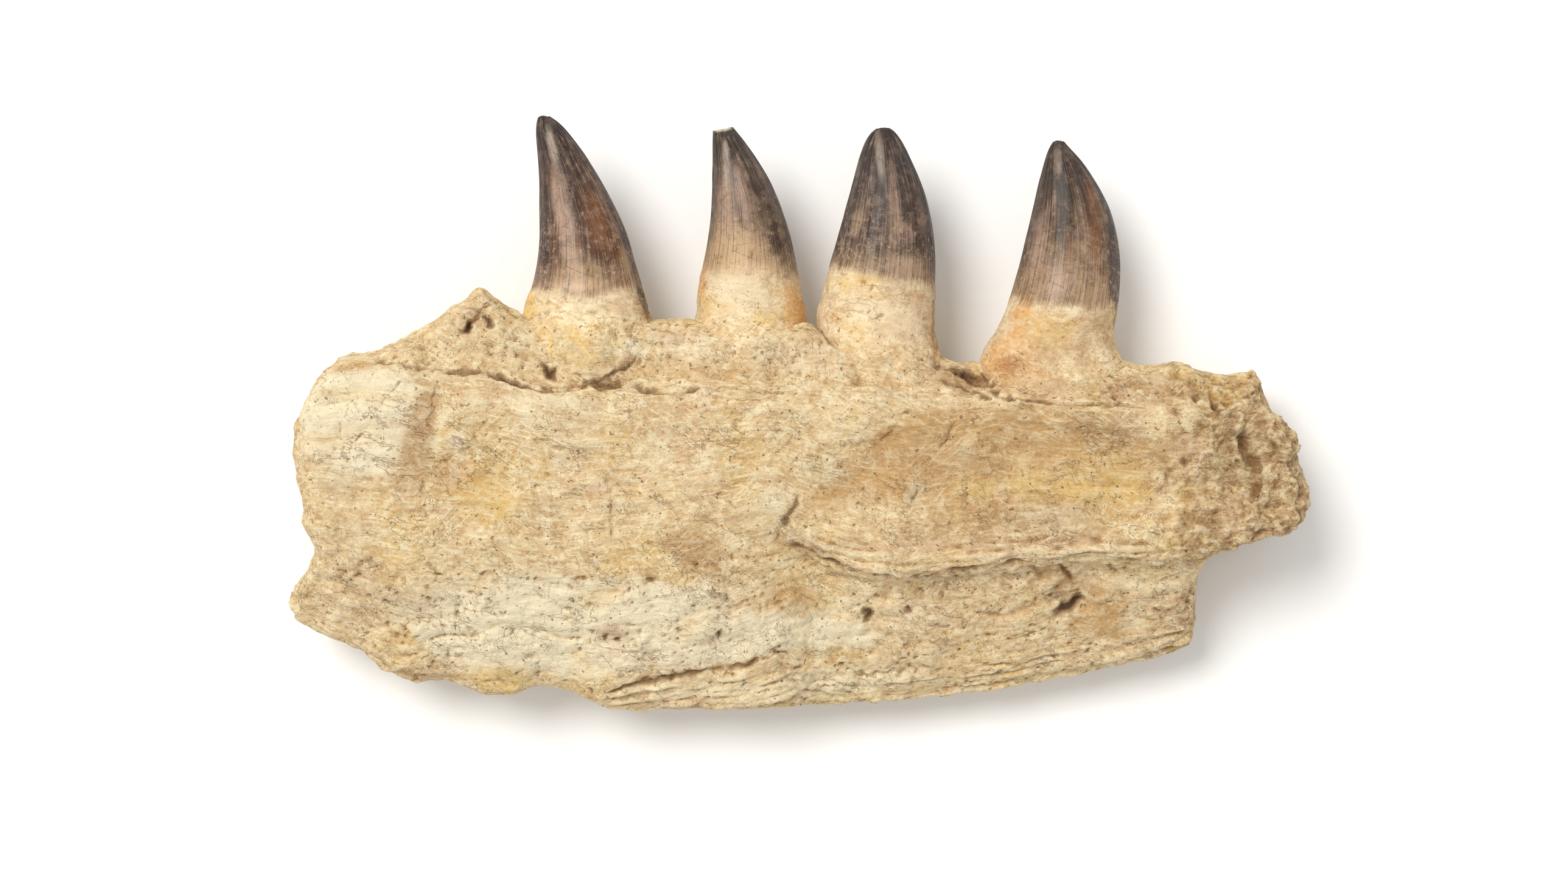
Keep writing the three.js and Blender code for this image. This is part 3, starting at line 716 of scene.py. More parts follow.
def bone_relief(places):
    """Height of the sculpted relief on the inner face, and the masks that the paint reads."""
    x = places[:, 0]
    y = places[:, 1]
    ledge = along(LEDGE_LINE, x)
    lower = along(LOWER_LINE, x)
    flow = grain_places(places)

    rim = ease(y - ledge, 0, 3)
    low = ease(lower - y, -2, 4)
    wall = (1 - rim) * (1 - low)
    crust_reach = x + 13 * soft_noise(places, 14, 3, shift=3.0) + 5 * soft_noise(places, 4, 2)
    crust = ease(crust_reach, CRUST_START, CRUST_FULL)

    swell = soft_noise(flow, 15, 3, stretch=(3, 1, 1), shift=61.0)
    ridges = soft_noise(flow, 4.2, 4, stretch=(5, 1, 1), shift=17.0)
    grain = soft_noise(flow, 1.5, 3, stretch=(6, 1, 1), shift=5.0)
    lumps = soft_noise(places, 6.0, 5, shift=41.0)
    flakes = creased_noise(places, 8.0, 4, stretch=(1.8, 1, 1), shift=2.0)
    bent = pushed(places, 5, 13, 2, (31.0, 47.0))
    swirls = creased_noise(bent, 6.5, 3, stretch=(3.2, 1, 1), shift=23.0)
    pitting = np.clip(soft_noise(places, 1.5, 2, shift=71.0) - 0.22, 0, 1)
    patches = ease(soft_noise(places, 9, 2, shift=77.0), -0.25, 0.35)
    granules = soft_noise(places, 5.0, 6, shift=55.0)
    boulders = creased_noise(bent, 9.0, 2, shift=91.0)
    overhang = np.exp(-((y - lower + 1) / 3.6) ** 2) * ease(x, -10, 6) * (1 - crust)
    strip_line = along(STRIP_LINE, x)
    strip = ease(strip_line - y, -1, 3)
    long_ridges = ridges_along(places, strip_line, 16, 0.0)
    knobs = soft_noise(places, 3.2, 3, shift=101.0)
    bank = np.exp(-((y - lower - 5) / 5.5) ** 2) * ease(x, -12, 4) * (1 - crust)
    bank_ridges = ridges_along(places, lower, 9, 9.0)

    height = 0.75 * swell * wall + ridges * (0.4 + 0.35 * wall) + grain * (0.14 + 0.16 * wall)
    height += lumps * (0.3 + 0.85 * rim + 0.35 * low)
    height -= (0.75 - np.minimum(flakes, 1.2)) * (0.7 * rim + 0.15 * wall) * 1.1
    height -= (0.75 - np.minimum(swirls, 1.2)) * 1.5 * low * (1 - 0.7 * strip)
    height += 1.1 * long_ridges * strip
    height += bank * (1.15 * bank_ridges + 0.6 * knobs)
    height -= 2.6 * overhang * np.clip(0.8 - flakes, 0, 0.7)
    height -= pitting * patches * (0.5 + 1.5 * rim + 1.5 * low)
    height += crust * (1.5 * granules + 0.6 * knobs - 1.2 * pitting)
    height -= crust * 1.5 * np.clip(0.75 - boulders, 0, 0.6)
    cut, dark = crack_field(places)
    height -= cut
    coarse = np.clip(0.15 + 0.65 * rim + 0.35 * low + crust, 0, 1)
    return height, dark, crust, coarse


def sculpt_bone(piece, relief, paints):
    """Moves the bone's vertices into its relief and writes the masks that the paint reads."""
    mesh = piece.data
    places = read_vectors(mesh, "co") / MM
    normals = read_vectors(mesh, "normal")
    facing_up = ease(normals[:, 2], 0.1, 0.6)
    height, dark, crust, coarse = bone_relief(places)

    peak_reach = np.hypot(*((places[:, :2] - PEAK) / PEAK_REACH).T)
    peak = PEAK_RISE * np.exp(-peak_reach ** 2)
    rough = 0.7 * soft_noise(places, 4.0, 4, shift=83.0)
    rough -= 1.2 * np.clip(soft_noise(places, 2.2, 2, shift=97.0) - 0.25, 0, 1)
    broken = ease(np.abs(places[:, 0]), BROKEN_START, BROKEN_FULL)
    rough += 1.5 * broken * (creased_noise(places, 6.5, 4, shift=13.0) - 0.75)
    rough -= 2.4 * broken * np.clip(soft_noise(places, 3.6, 3, shift=7.0) - 0.2, 0, 1)
    facing_down = ease(-normals[:, 2], 0.5, 0.9)
    sides = (1 - facing_up) * (1 - 0.6 * facing_down)

    total = relief * (height * facing_up + rough * sides)
    moved = places + normals * total[:, None]
    moved[:, 1] += peak
    resting = places[:, 2] < RESTING_HEIGHT
    moved[resting] = places[resting]
    moved[:, 2] = np.maximum(moved[:, 2], 0)
    write_places(mesh, moved * MM)

    hollow = neighbour_mean(mesh, total, 8) - total
    tint, share = stain_layer(places, STAINS, paints)
    write_mask(mesh, "hollow", hollow)
    write_mask(mesh, "dark", dark * facing_up)
    write_mask(mesh, "crust", crust)
    write_mask(mesh, "coarse", np.maximum(coarse, sides))
    write_mask(mesh, "stained", share * facing_up)
    write_tint(mesh, "stain", tint)
    write_flow(mesh, grain_places(places))
    mesh.shade_smooth()


# The teeth


def ring_rows(form):
    """Numbers the rings of a tooth from its tip, and gives each vertex its place round it."""
    poles = [vertex for vertex in form.verts if len(vertex.link_edges) > POLE_EDGES]
    tip = max(poles, key=lambda vertex: vertex.co.y)
    ring_of = {tip: 0}
    front = [tip]
    rings = [front]
    while front:
        front = list({
            edge.other_vert(vertex)
            for vertex in front
            for edge in vertex.link_edges
            if edge.other_vert(vertex) not in ring_of
        })
        for vertex in front:
            ring_of[vertex] = len(rings)
        if front:
            rings.append(front)
    around = {}
    for ring in rings:
        places = np.array([vertex.co for vertex in ring])
        middle = places.mean(0)
        offsets = places - middle
        half_depth = max(np.abs(offsets[:, 2]).max(), 1e-9)
        half_width = max(np.hypot(offsets[:, 0], offsets[:, 1]).max(), 1e-9)
        for vertex, offset in zip(ring, offsets):
            side = np.hypot(offset[0], offset[1]) * np.sign(offset[0]) / half_width
            around[vertex] = (side, offset[2] / half_depth)
    return ring_of, around


def tooth_form(node):
    """A tooth's form in four-sided faces, with its place attributes."""
    form = merged_form(node)
    side_layer = form.verts.layers.float.new("side")
    facing_layer = form.verts.layers.float.new("facing")
    ring_of, around = ring_rows(form)
    for vertex, (side, facing) in around.items():
        vertex[side_layer] = side
        vertex[facing_layer] = facing
    bmesh.ops.join_triangles(
        form,
        faces=form.faces,
        cmp_seam=False,
        cmp_sharp=False,
        angle_face_threshold=1.0,
        angle_shape_threshold=2.0,
    )
    if node == BROKEN_TOOTH:
        crease = form.edges.layers.float.new("crease_edge")
        for edge in form.edges:
            if {ring_of[vertex] for vertex in edge.verts} == {1}:
                edge[crease] = TIP_CREASE
    return form


def sculpt_tooth(piece, node, paints):
    """Facets, wear and a rough root on one tooth, and the masks that its paint reads."""
    mesh = piece.data
    places = read_vectors(mesh, "co") / MM
    normals = read_vectors(mesh, "normal")
    side = np.empty(len(places), np.float32)
    facing = np.empty(len(places), np.float32)
    mesh.attributes["side"].data.foreach_get("value", side)
    mesh.attributes["facing"].data.foreach_get("value", facing)

    left, middle, right = CROWN_BASE[node]
    base = middle + (right - left) / 2 * side + ((left + right) / 2 - middle) * side ** 2
    tip = places[:, 1].max()
    rise = (places[:, 1] - base) / (tip - base)
    crown = ease(rise, -0.03, 0.02)

    shift = 37.0 * (1 + TEETH.index(node))
    ring_place = np.column_stack([side, facing, rise * 0.7])
    flutes = soft_noise(ring_place, 0.3, 3, shift=shift)
    waves = soft_noise(places, 8, 2, stretch=(1, 2, 1), shift=shift)
    root_lumps = soft_noise(places, 6.5, 5, shift=shift + 5)
    patches = ease(soft_noise(places, 7, 2, shift=shift + 3), -0.1, 0.4)
    root_pits = patches * np.clip(soft_noise(places, 1.6, 2, shift=shift + 9) - 0.25, 0, 1)
    keel = np.exp(-((1 - np.abs(side)) / 0.035) ** 2)
    buried = 1 - ease(places[:, 1] + 3 * root_lumps, GUM_LINE[node], GUM_LINE[node] + GUM_REACH)

    height = crown * (0.2 * flutes + 0.2 * waves + 0.3 * keel)
    height += (1 - crown) * (0.25 + 0.5 * root_lumps - 1.1 * root_pits)
    height += buried * 0.4 * soft_noise(places, 2.4, 3, shift=shift + 13)
    write_places(mesh, (places + normals * height[:, None]) * MM)

    hollow = neighbour_mean(mesh, height, 4) - height
    tint, share = stain_layer(places, TOOTH_STAINS[node], paints)
    write_mask(mesh, "rise", rise)
    write_mask(mesh, "buried", buried)
    write_mask(mesh, "hollow", hollow * (1 - crown))
    write_mask(mesh, "stained", share)
    write_tint(mesh, "stain", tint)
    write_flow(mesh, grain_places(places))
    mesh.shade_smooth()


# Shader helpers


class Shader:
    """A node tree with short calls for the nodes that the paints are mixed from."""

    def __init__(self, tree):
        self.tree = tree

    def set(self, socket, value):
        if isinstance(value, bpy.types.NodeSocket):
            self.tree.links.new(value, socket)
        elif isinstance(value, tuple) and len(value) == 3 and socket.type == "RGBA":
            socket.default_value = (*value, 1.0)
        else:
            socket.default_value = value

    def node(self, kind, *values, settings=None, **inputs):
        """A node, its first sockets filled in order and others by their names."""
        made = self.tree.nodes.new(kind)
        for key, value in (settings or {}).items():
            setattr(made, key, value)
        for socket, value in zip(made.inputs, values):
            self.set(socket, value)
        for key, value in inputs.items():
            self.set(made.inputs[key.replace("_", " ")], value)
        return made

    def math(self, operation, *values):
        return self.node("ShaderNodeMath", *values, settings={"operation": operation}).outputs[0]

    def add(self, first, second):
        return self.math("ADD", first, second)

    def times(self, first, second):
        return self.math("MULTIPLY", first, second)

    def line(self, value, slope, start):
        """A value times its slope, plus its start."""
        return self.math("MULTIPLY_ADD", value, slope, start)

    def ease(self, value, low, high):
        """From 0 at low to 1 at high, with soft ends."""
        made = self.node(
            "ShaderNodeMapRange", value, low, high,
            settings={"interpolation_type": "SMOOTHSTEP"})
        return made.outputs["Result"]

    def band(self, field, low, high, strength):
        """From 0 where a field is at low to this strength where it is at high."""
        return self.times(self.ease(field, low, high), strength)

    def swing(self, field, amount):
        """A field about 0.5, turned to swing this much about 0."""
        return self.times(self.math("SUBTRACT", field, 0.5), amount)

    def mix(self, share, first, second, blend="MIX"):
        """Two colours mixed by a share."""
        made = self.node(
            "ShaderNodeMix", share, settings={"data_type": "RGBA", "blend_type": blend})
        self.set(made.inputs[6], first)
        self.set(made.inputs[7], second)
        return made.outputs[2]

    def lay(self, base, colour, field, low, high, strength):
        """A colour laid over another where a field goes from low to high."""
        return self.mix(self.band(field, low, high, strength), base, colour)

    def noise(self, place, scale, detail=4.0, roughness=0.55, distortion=0.0):
        made = self.node(
            "ShaderNodeTexNoise", Vector=place, Scale=scale, Detail=detail,
            Roughness=roughness, Distortion=distortion)
        return made.outputs[0]

    def stretched(self, place, scale, turn=0.0):
        """A place turned about Z, then scaled by its own factor along each axis."""
        if turn:
            place = self.node("ShaderNodeMapping", place, Rotation=(0.0, 0.0, turn)).outputs[0]
        return self.node("ShaderNodeMapping", place, Scale=scale).outputs[0]

    def warped(self, place, scale, amount):
        """A place pushed about by soft noise."""
        cloud = self.node("ShaderNodeTexNoise", Vector=place, Scale=scale, Detail=2.0).outputs[1]
        centred = self.node(
            "ShaderNodeVectorMath", cloud, (0.5,) * 3, settings={"operation": "SUBTRACT"})
        pushed = self.node(
            "ShaderNodeVectorMath", centred.outputs[0], (amount,) * 3, place,
            settings={"operation": "MULTIPLY_ADD"})
        return pushed.outputs[0]

    def cells(self, place, scale):
        """Distance from the walls between cells."""
        made = self.node(
            "ShaderNodeTexVoronoi", settings={"feature": "DISTANCE_TO_EDGE"}, Vector=place,
            Scale=scale)
        return made.outputs["Distance"]

    def hairline(self, field, width):
        """Thin lines where a field about 0.5 passes its middle."""
        offset = self.math("ABSOLUTE", self.math("SUBTRACT", field, 0.5))
        return self.ease(offset, width, 0.2 * width)

    def mask(self, name, output="Fac"):
        """A value, colour or vector that was written on the mesh."""
        made = self.node("ShaderNodeAttribute", settings={"attribute_name": name})
        return made.outputs[output]

    def place(self):
        return self.node("ShaderNodeTexCoord").outputs["Object"]

    def group(self, tree, **inputs):
        return self.node("ShaderNodeGroup", settings={"node_tree": tree}, **inputs).outputs


def new_group(name, inputs, outputs):
    """An empty shader node group: its shader, its input sockets and its output node."""
    tree = bpy.data.node_groups.new(name, "ShaderNodeTree")
    for socket, kind in inputs.items():
        tree.interface.new_socket(name=socket, in_out="INPUT", socket_type=kind)
    for socket, kind in outputs.items():
        tree.interface.new_socket(name=socket, in_out="OUTPUT", socket_type=kind)
    given = tree.nodes.new("NodeGroupInput")
    result = tree.nodes.new("NodeGroupOutput")
    return Shader(tree), given.outputs, result.inputs


SCALAR = "NodeSocketFloat"
VECTOR = "NodeSocketVector"
PAINT = "NodeSocketColor"


def bone_group():
    """The colour and height of fossil bone: mottling, fibres, scratches, grit and cracks."""
    found = bpy.data.node_groups.get("bone_paint")
    if found:
        return found
    tones = dict.fromkeys(("Main", "Pale", "Dark", "Crack", "Warm", "Pink"), PAINT)
    shader, given, result = new_group(
        "bone_paint",
        {"Place": VECTOR, "Flow": VECTOR, "Coarse": SCALAR, **tones},
        {"Color": PAINT, "Height": SCALAR},
    )
    place = given["Place"]
    coarse = given["Coarse"]
    pale = given["Pale"]
    dark = given["Dark"]
    line = given["Crack"]

    clouds = shader.noise(place, 42, 5, 0.6)
    base = shader.lay(given["Main"], given["Warm"], clouds, 0.5, 0.6, 0.5)
    rosy = shader.noise(shader.stretched(place, (30, 44, 44), 0.6), 1.0, 5, 0.6)
    base = shader.lay(base, given["Pink"], rosy, 0.52, 0.62, 0.45)

    mottle = shader.noise(shader.warped(place, 90, 0.012), 230, 7, 0.68)
    base = shader.lay(base, pale, mottle, 0.51, 0.6, 0.62)
    base = shader.lay(base, dark, mottle, 0.46, 0.37, 0.42)

    fibre_place = shader.warped(given["Flow"], 60, 0.004)
    fibre = shader.noise(
        shader.stretched(fibre_place, (190, 1150, 700)), 1.0, 6, 0.7, 0.35)
    base = shader.lay(base, pale, fibre, 0.52, 0.6, shader.line(coarse, -0.5, 0.7))
    base = shader.lay(base, dark, fibre, 0.455, 0.36, 0.45)

    for turn, where in ((0.6, 55), (-0.75, 47)):
        scratch = shader.noise(shader.stretched(place, (130, 1500, 700), turn), 1.0, 3, 0.6, 0.2)
        zone = shader.ease(shader.noise(place, where, 2), 0.48, 0.56)
        share = shader.times(shader.band(scratch, 0.57, 0.64, zone), 0.7)
        base = shader.mix(share, base, pale)

    grit = shader.noise(place, 820, 5, 0.72)
    base = shader.lay(base, pale, grit, 0.53, 0.62, 0.42)
    base = shader.lay(base, dark, grit, 0.455, 0.36, shader.line(coarse, 0.3, 0.4))

    hairs = shader.noise(shader.stretched(place, (70, 150, 110), 0.3), 1.0, 5, 0.6, 0.4)
    hair_zone = shader.ease(shader.noise(place, 75, 3), 0.5, 0.58)
    crack = shader.times(shader.hairline(hairs, 0.012), hair_zone)
    fine_hairs = shader.noise(shader.stretched(place, (330, 210, 260), -0.5), 1.0, 4, 0.6, 0.5)
    fine_zone = shader.ease(shader.noise(place, 105, 3, 0.6), 0.5, 0.58)
    craze = shader.times(shader.hairline(fine_hairs, 0.02), fine_zone)
    pores = shader.ease(shader.noise(place, 640, 2, 0.6), 0.665, 0.71)
    for share, strength in ((crack, 0.45), (craze, 0.32), (pores, 0.75)):
        base = shader.mix(shader.times(share, strength), base, line)

    height = shader.times(fibre, 0.9)
    for field, depth in (
            (mottle, 1.1), (grit, 0.7), (crack, -0.35), (craze, -0.2), (pores, -0.35)):
        height = shader.add(height, shader.times(field, depth))
    shader.set(result["Color"], base)
    shader.set(result["Height"], height)
    return shader.tree


def ragged_group():
    """A mask broken up by noise: Ragged is how much, Low and High are where it starts and ends."""
    found = bpy.data.node_groups.get("ragged_mask")
    if found:
        return found
    shader, given, result = new_group(
        "ragged_mask",
        {"Place": VECTOR, **dict.fromkeys(("Mask", "Scale", "Ragged", "Low", "High"), SCALAR)},
        {"Mask": SCALAR},
    )
    cloud = shader.noise(given["Place"], given["Scale"], 7, 0.68)
    swung = shader.add(given["Mask"], shader.swing(cloud, given["Ragged"]))
    shader.set(result["Mask"], shader.ease(swung, given["Low"], given["High"]))
    return shader.tree


def ragged(shader, name, scale, amount, low, high):
    """A mask of the mesh with ragged edges."""
    return shader.group(
        ragged_group(), Place=shader.place(), Mask=shader.mask(name), Scale=scale,
        Ragged=amount, Low=low, High=high,
    )["Mask"]


def new_material(name):
    """A material with only its surface and output: the shader, and the surface's sockets."""
    material = bpy.data.materials.new(name)
    material.use_nodes = True
    material.node_tree.nodes.clear()
    shader = Shader(material.node_tree)
    surface = shader.node("ShaderNodeBsdfPrincipled")
    output = shader.node("ShaderNodeOutputMaterial")
    shader.set(output.inputs["Surface"], surface.outputs[0])
    return material, shader, surface.inputs


def stained_paint(shader, paints, main, pale, dark, coarse, raggedness, scale):
    """Bone paint whose tones all take on the stains, which break up along the grain."""
    cover = ragged(shader, "stained", scale, raggedness, 0.22, 0.78)
    stain = shader.mask("stain", "Color")
    pale_stain = shader.mix(0.38, stain, paints["cream"])
    dark_stain = shader.mix(0.45, stain, paints["brown"])
    strength = shader.times(cover, 0.9)
    return shader.group(
        bone_group(),
        Place=shader.place(),
        Flow=shader.mask("flow", "Vector"),
        Coarse=coarse,
        Main=shader.mix(strength, main, stain),
        Pale=shader.mix(shader.times(cover, 0.75), pale, pale_stain),
        Dark=shader.mix(strength, dark, dark_stain),
        Crack=paints["crack"],
        Warm=shader.mix(strength, paints["gold"], stain),
        Pink=shader.mix(strength, paints["rose"], stain),
    )


def bone_material(paints):
    """Fossil bone: tan and cream grain with stains, a crust at one end, cracks, dirt, and painted
    shade in the cracks and hollows.
    """
    material, shader, surface = new_material("fossil_bone")
    crust = shader.times(ragged(shader, "crust", 150.0, 2.2, 0.1, 0.8), 0.85)
    paint_out = stained_paint(
        shader,
        paints,
        shader.mix(crust, paints["tan"], paints["crust"]),
        shader.mix(shader.times(crust, 0.6), paints["cream"], paints["gold"]),
        shader.mix(crust, paints["brown"], paints["crack"]),
        shader.mask("coarse"),
        1.8,
        130.0,
    )
    base = paint_out["Color"]

    # Painted shade darkens the hollows of the relief with umber; the raised tops are paled as
    # wear.
    hollow = shader.mask("hollow")
    shade = shader.band(hollow, 0.08, 0.5, 0.5)
    base = shader.mix(shade, base, paints["umber"], "MULTIPLY")
    base = shader.lay(base, paints["cream"], hollow, -0.08, -0.4, 0.4)
    # Crack and soil colours in the cracks and pits: partly dirt, partly painted shade where they
    # are deep.
    grime_and_shade = shader.add(
        shader.mask("dark"), shader.swing(shader.noise(shader.place(), 500, 5, 0.7), 1.0))
    base = shader.lay(base, paints["crack"], grime_and_shade, 0.1, 0.5, 0.7)
    base = shader.lay(base, paints["soil"], grime_and_shade, 0.5, 1.0, 0.9)

    shader.set(surface["Base Color"], base)
    shader.set(surface["Roughness"], shader.line(paint_out["Height"], -0.1, 1.0))
    surface["Specular IOR Level"].default_value = 0.25
    bump = shader.node(
        "ShaderNodeBump", Height=paint_out["Height"], Strength=0.8, Distance=0.0009)
    shader.set(surface["Normal"], bump.outputs[0])
    return material


def tooth_material(name, tip, body, fade, gloss, paints):
    """Glossy streaked enamel that gives way to an ivory root, which turns to bone at the gum."""
    material, shader, surface = new_material(name)
    place = shader.place()
    rise = shader.mask("rise")
    side = shader.mask("side")
    facing = shader.mask("facing")
    buried = shader.mask("buried")

    combined = shader.node("ShaderNodeCombineXYZ", X=side, Y=facing, Z=rise).outputs[0]
    striation = shader.noise(shader.stretched(combined, (26, 26, 2.4)), 1.0, 5, 0.65, 0.3)
    long_streaks = shader.noise(shader.stretched(combined, (6.5, 6.5, 0.8)), 1.0, 4, 0.6, 0.2)
    blotches = shader.noise(place, 170, 6, 0.65)
    streaks = shader.add(shader.times(long_streaks, 0.62), shader.times(blotches, 0.38))
    clouds = shader.noise(place, 95, 6, 0.65)
    speckle = shader.noise(place, 760, 4, 0.7)

    fade_height, fade_share, blend = fade
    unrest = shader.add(shader.swing(clouds, 0.2), shader.swing(striation, 0.1))
    ragged_rise = shader.add(rise, unrest)
    crown = shader.ease(ragged_rise, -blend, blend)

    stain = shader.mask("stain", "Color")
    cover = ragged(shader, "stained", 170.0, 1.3, 0.05, 0.95)

    enamel = shader.mix(shader.ease(ragged_rise, 0.3, 1.0), body, tip)
    enamel = shader.lay(enamel, tip, streaks, 0.495, 0.56, 0.72)
    enamel = shader.lay(enamel, paints["mauve"], streaks, 0.475, 0.4, 0.55)
    clouded_rise = shader.add(rise, shader.swing(clouds, 0.5))
    enamel = shader.lay(enamel, paints["fawn"], clouded_rise, fade_height, -0.02, fade_share)
    enamel = shader.mix(shader.times(cover, 0.92), enamel, stain)
    # Painted shade: the crown darkens towards its side edges, in its tip colour.
    edges = shader.band(shader.math("ABSOLUTE", side), 0.62, 1.0, 0.6)
    enamel = shader.mix(shader.times(edges, shader.ease(rise, 0.0, 0.3)), enamel, tip)
    enamel = shader.lay(enamel, tip, striation, 0.51, 0.6, 0.44)
    enamel = shader.lay(enamel, paints["mauve"], striation, 0.47, 0.36, 0.26)
    near_base = shader.ease(rise, 0.75, 0.0)
    worn = shader.noise(place, 330, 6, 0.72)
    wear = shader.line(near_base, 0.22, 0.14)
    enamel = shader.lay(enamel, paints["mauve"], worn, 0.5, 0.6, wear)
    enamel = shader.lay(enamel, tip, worn, 0.46, 0.37, 0.32)
    flecks = shader.times(shader.band(speckle, 0.56, 0.66, near_base), 0.7)
    enamel = shader.mix(flecks, enamel, paints["fawn"])
    crazed = shader.cells(shader.stretched(combined, (2.2, 2.2, 11)), 1.0)
    crazing = shader.times(shader.ease(crazed, 0.03, 0.0), shader.ease(streaks, 0.48, 0.54))
    enamel = shader.mix(shader.times(crazing, 0.4), enamel, paints["dusk"])

    root_main = shader.mix(buried, paints["root"], paints["tan"])
    root = stained_paint(
        shader, paints, root_main, paints["cream"], paints["brown"],
        shader.times(buried, 0.8), 2.6, 170.0,
    )
    root_cover = ragged(shader, "stained", 210.0, 2.8, 0.2, 0.8)
    clean_root = shader.mix(shader.times(root_cover, 0.9), paints["root"], stain)
    clean = shader.line(buried, -0.32, 0.32)
    root_base = shader.mix(clean, root["Color"], clean_root)
    # Painted shade: the root's hollows are darkened with the crack colour.
    root_base = shader.lay(root_base, paints["crack"], shader.mask("hollow"), 0.05, 0.35, 0.5)

    shader.set(surface["Base Color"], shader.mix(crown, root_base, enamel))
    dull = shader.line(crown, gloss - 0.9, 0.9)
    roughness = shader.add(dull, shader.swing(speckle, 0.25))
    shader.set(surface["Roughness"], roughness)
    surface["Specular IOR Level"].default_value = 0.22
    surface["Coat Roughness"].default_value = 0.24
    surface["Coat IOR"].default_value = 1.35
    coat = shader.times(crown, shader.ease(shader.math("ABSOLUTE", side), 0.85, 0.45))
    shader.set(surface["Coat Weight"], shader.times(coat, 0.3))

    enamel_height = shader.times(shader.add(striation, shader.times(speckle, 0.5)), crown)
    root_height = shader.times(root["Height"], shader.math("SUBTRACT", 1.0, crown))
    height = shader.add(enamel_height, root_height)
    bump = shader.node("ShaderNodeBump", Height=height, Strength=0.7, Distance=0.0006)
    shader.set(surface["Normal"], bump.outputs[0])
    return material


# Operators


def finish_piece(piece, node, material):
    """Paints a piece and puts it in place of its node."""
    piece.data.materials.clear()
    piece.data.materials.append(material)
    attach(piece, BODY)
    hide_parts(node)


class JAW_OT_bone(Operator):
    """Make the jaw bone: remade finely, sculpted and painted"""

    bl_idname = "jaw.bone"
    bl_label = "Jaw Bone"

    def execute(self, context):
        settings = context.scene.jaw_bone
        paints = palette(context.scene)
        piece = new_object("jaw_bone_relief", bone_form())
        remesh = piece.modifiers.new("Remesh", "REMESH")
        remesh.mode = "VOXEL"
        remesh.voxel_size = settings.voxel
        apply_modifiers(piece)
        refine_inner_face(piece, settings.front_cuts)
        sculpt_bone(piece, settings.relief, paints)
        finish_piece(piece, BONE, bone_material(paints))
        return {"FINISHED"}


class JAW_OT_teeth(Operator):
    """Make the four teeth, each a glossy crown on an ivory root"""

    bl_idname = "jaw.teeth"
    bl_label = "Teeth"

    def execute(self, context):
        settings = context.scene.jaw_teeth
        paints = palette(context.scene)
        for node, order in zip(TEETH, ("first", "second", "third", "fourth")):
            piece = new_object(node + "_crown_and_root", tooth_form(node))
            smoothing = piece.modifiers.new("Smoothing", "SUBSURF")
            smoothing.levels = settings.smoothing
            smoothing.render_levels = settings.smoothing
            apply_modifiers(piece)
            sculpt_tooth(piece, node, paints)
            material = tooth_material(
                node + "_enamel",
                paints[order + "_tip"],
                paints[order + "_body"],
                CROWN_FADE[node],
                settings.gloss,
                paints,
            )
            finish_piece(piece, node, material)
        return {"FINISHED"}


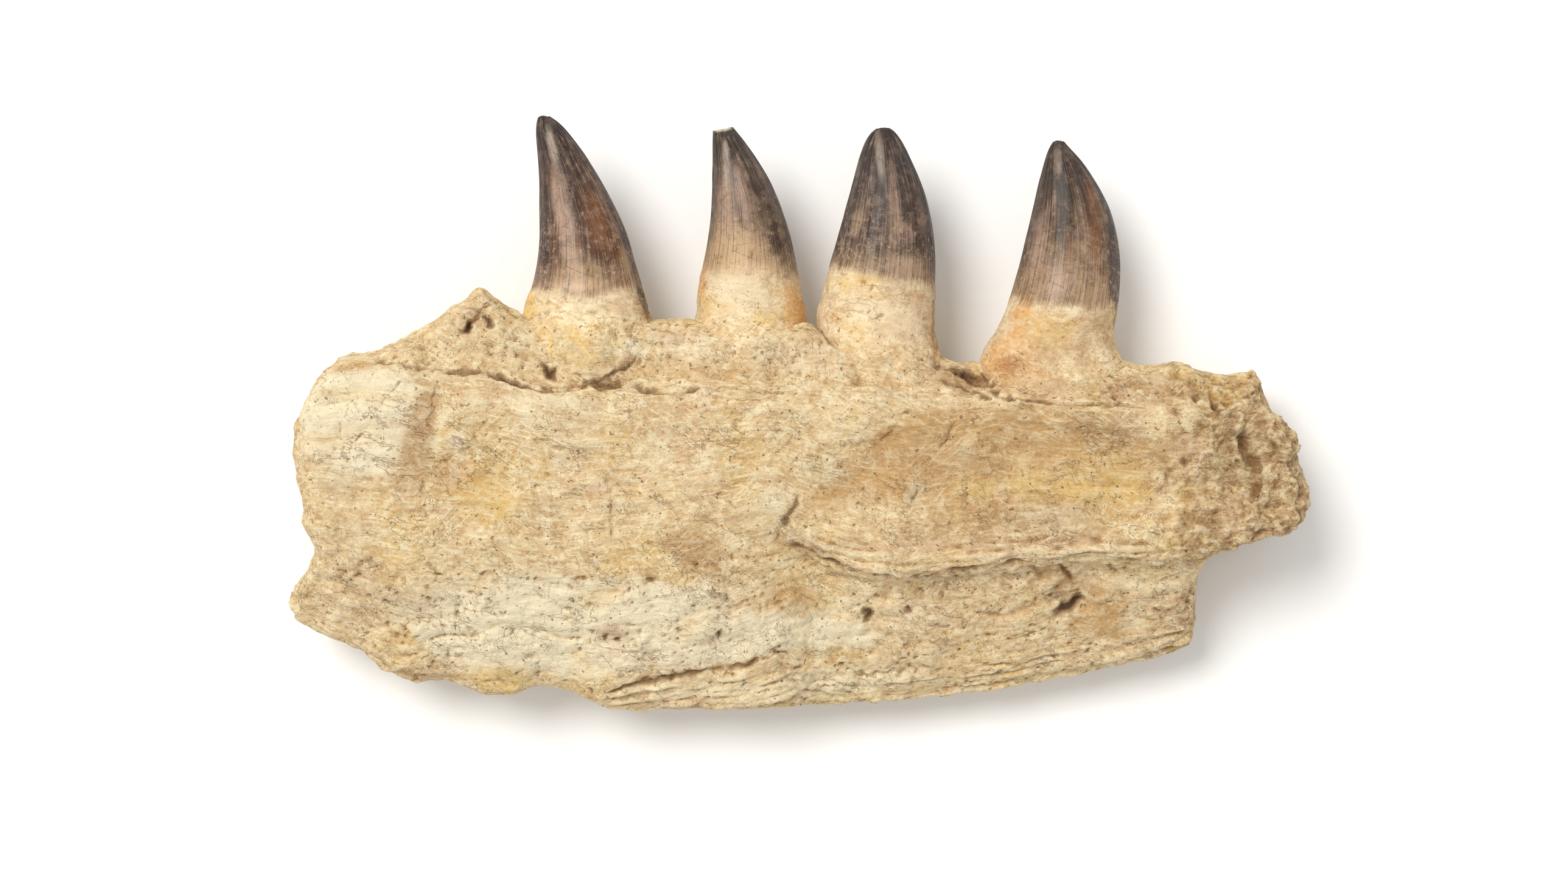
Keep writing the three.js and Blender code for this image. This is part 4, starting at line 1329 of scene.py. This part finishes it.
class JAW_OT_stage(Operator):
    """Make the pale floor, the soft light and the camera that looks straight down"""

    bl_idname = "jaw.stage"
    bl_label = "Stage"

    def execute(self, context):
        settings = context.scene.jaw_stage
        scene = context.scene

        form = bmesh.new()
        bmesh.ops.create_grid(form, x_segments=1, y_segments=1, size=FLOOR_HALF)
        floor = new_object("floor", form)
        material, shader, surface = new_material("floor_paint")
        cloud = shader.noise(shader.place(), 3, 2)
        pale = tuple(settings.floor)
        slightly_darker = tuple(0.985 * value for value in pale)
        shader.set(surface["Base Color"], shader.mix(cloud, pale, slightly_darker))
        surface["Roughness"].default_value = 0.9
        surface["Specular IOR Level"].default_value = 0.1
        floor.data.materials.append(material)

        sun = bpy.data.lights.new("key", "SUN")
        sun.energy = settings.key
        sun.angle = KEY_SPREAD
        sun.color = KEY_COLOUR
        key = bpy.data.objects.new("key", sun)
        key.rotation_euler = Vector(KEY_DIRECTION).to_track_quat("Z", "Y").to_euler()
        scene.collection.objects.link(key)

        world = bpy.data.worlds.new("studio")
        world.use_nodes = True
        sky = world.node_tree.nodes["Background"].inputs
        sky["Color"].default_value = SKY_COLOUR
        sky["Strength"].default_value = settings.sky
        scene.world = world
        scene.view_settings.view_transform = "Standard"

        lens = bpy.data.cameras.new("camera")
        lens.sensor_width = SENSOR_WIDTH
        framed_width = PICTURE_WIDTH / PIXELS_PER_MM * MM
        lens.lens = SENSOR_WIDTH * settings.distance / framed_width
        camera = bpy.data.objects.new("camera", lens)
        camera.location = (
            (PICTURE_MIDDLE[0] - ORIGIN_PIXEL[0]) / PIXELS_PER_MM * MM,
            (ORIGIN_PIXEL[1] - PICTURE_MIDDLE[1]) / PIXELS_PER_MM * MM,
            FRAMED_HEIGHT + settings.distance,
        )
        scene.collection.objects.link(camera)
        scene.camera = camera
        return {"FINISHED"}


class JAW_PT_panel(Panel):
    """The jaw's settings and operators"""

    bl_idname = "JAW_PT_panel"
    bl_label = "Mosasaur Jaw"
    bl_space_type = "VIEW_3D"
    bl_region_type = "UI"
    bl_category = "Jaw"

    def draw(self, context):
        groups = (
            ("jaw_bone", "jaw.bone"),
            ("jaw_teeth", "jaw.teeth"),
            ("jaw_stage", "jaw.stage"),
        )
        for group, operator in groups:
            box = self.layout.box()
            settings = getattr(context.scene, group)
            for name in settings.__annotations__:
                box.prop(settings, name)
            box.operator(operator)


CLASSES = (
    JawBoneSettings,
    JawTeethSettings,
    JawStageSettings,
    JAW_OT_bone,
    JAW_OT_teeth,
    JAW_OT_stage,
    JAW_PT_panel,
)


def register():
    for made in CLASSES:
        bpy.utils.register_class(made)
    bpy.types.Scene.jaw_bone = PointerProperty(type=JawBoneSettings)
    bpy.types.Scene.jaw_teeth = PointerProperty(type=JawTeethSettings)
    bpy.types.Scene.jaw_stage = PointerProperty(type=JawStageSettings)


def unregister():
    del bpy.types.Scene.jaw_stage
    del bpy.types.Scene.jaw_teeth
    del bpy.types.Scene.jaw_bone
    for made in reversed(CLASSES):
        bpy.utils.unregister_class(made)


def main():
    register()
    bpy.ops.jaw.stage()
    bpy.ops.jaw.bone()
    bpy.ops.jaw.teeth()
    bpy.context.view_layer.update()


if __name__ == "__main__":
    main()
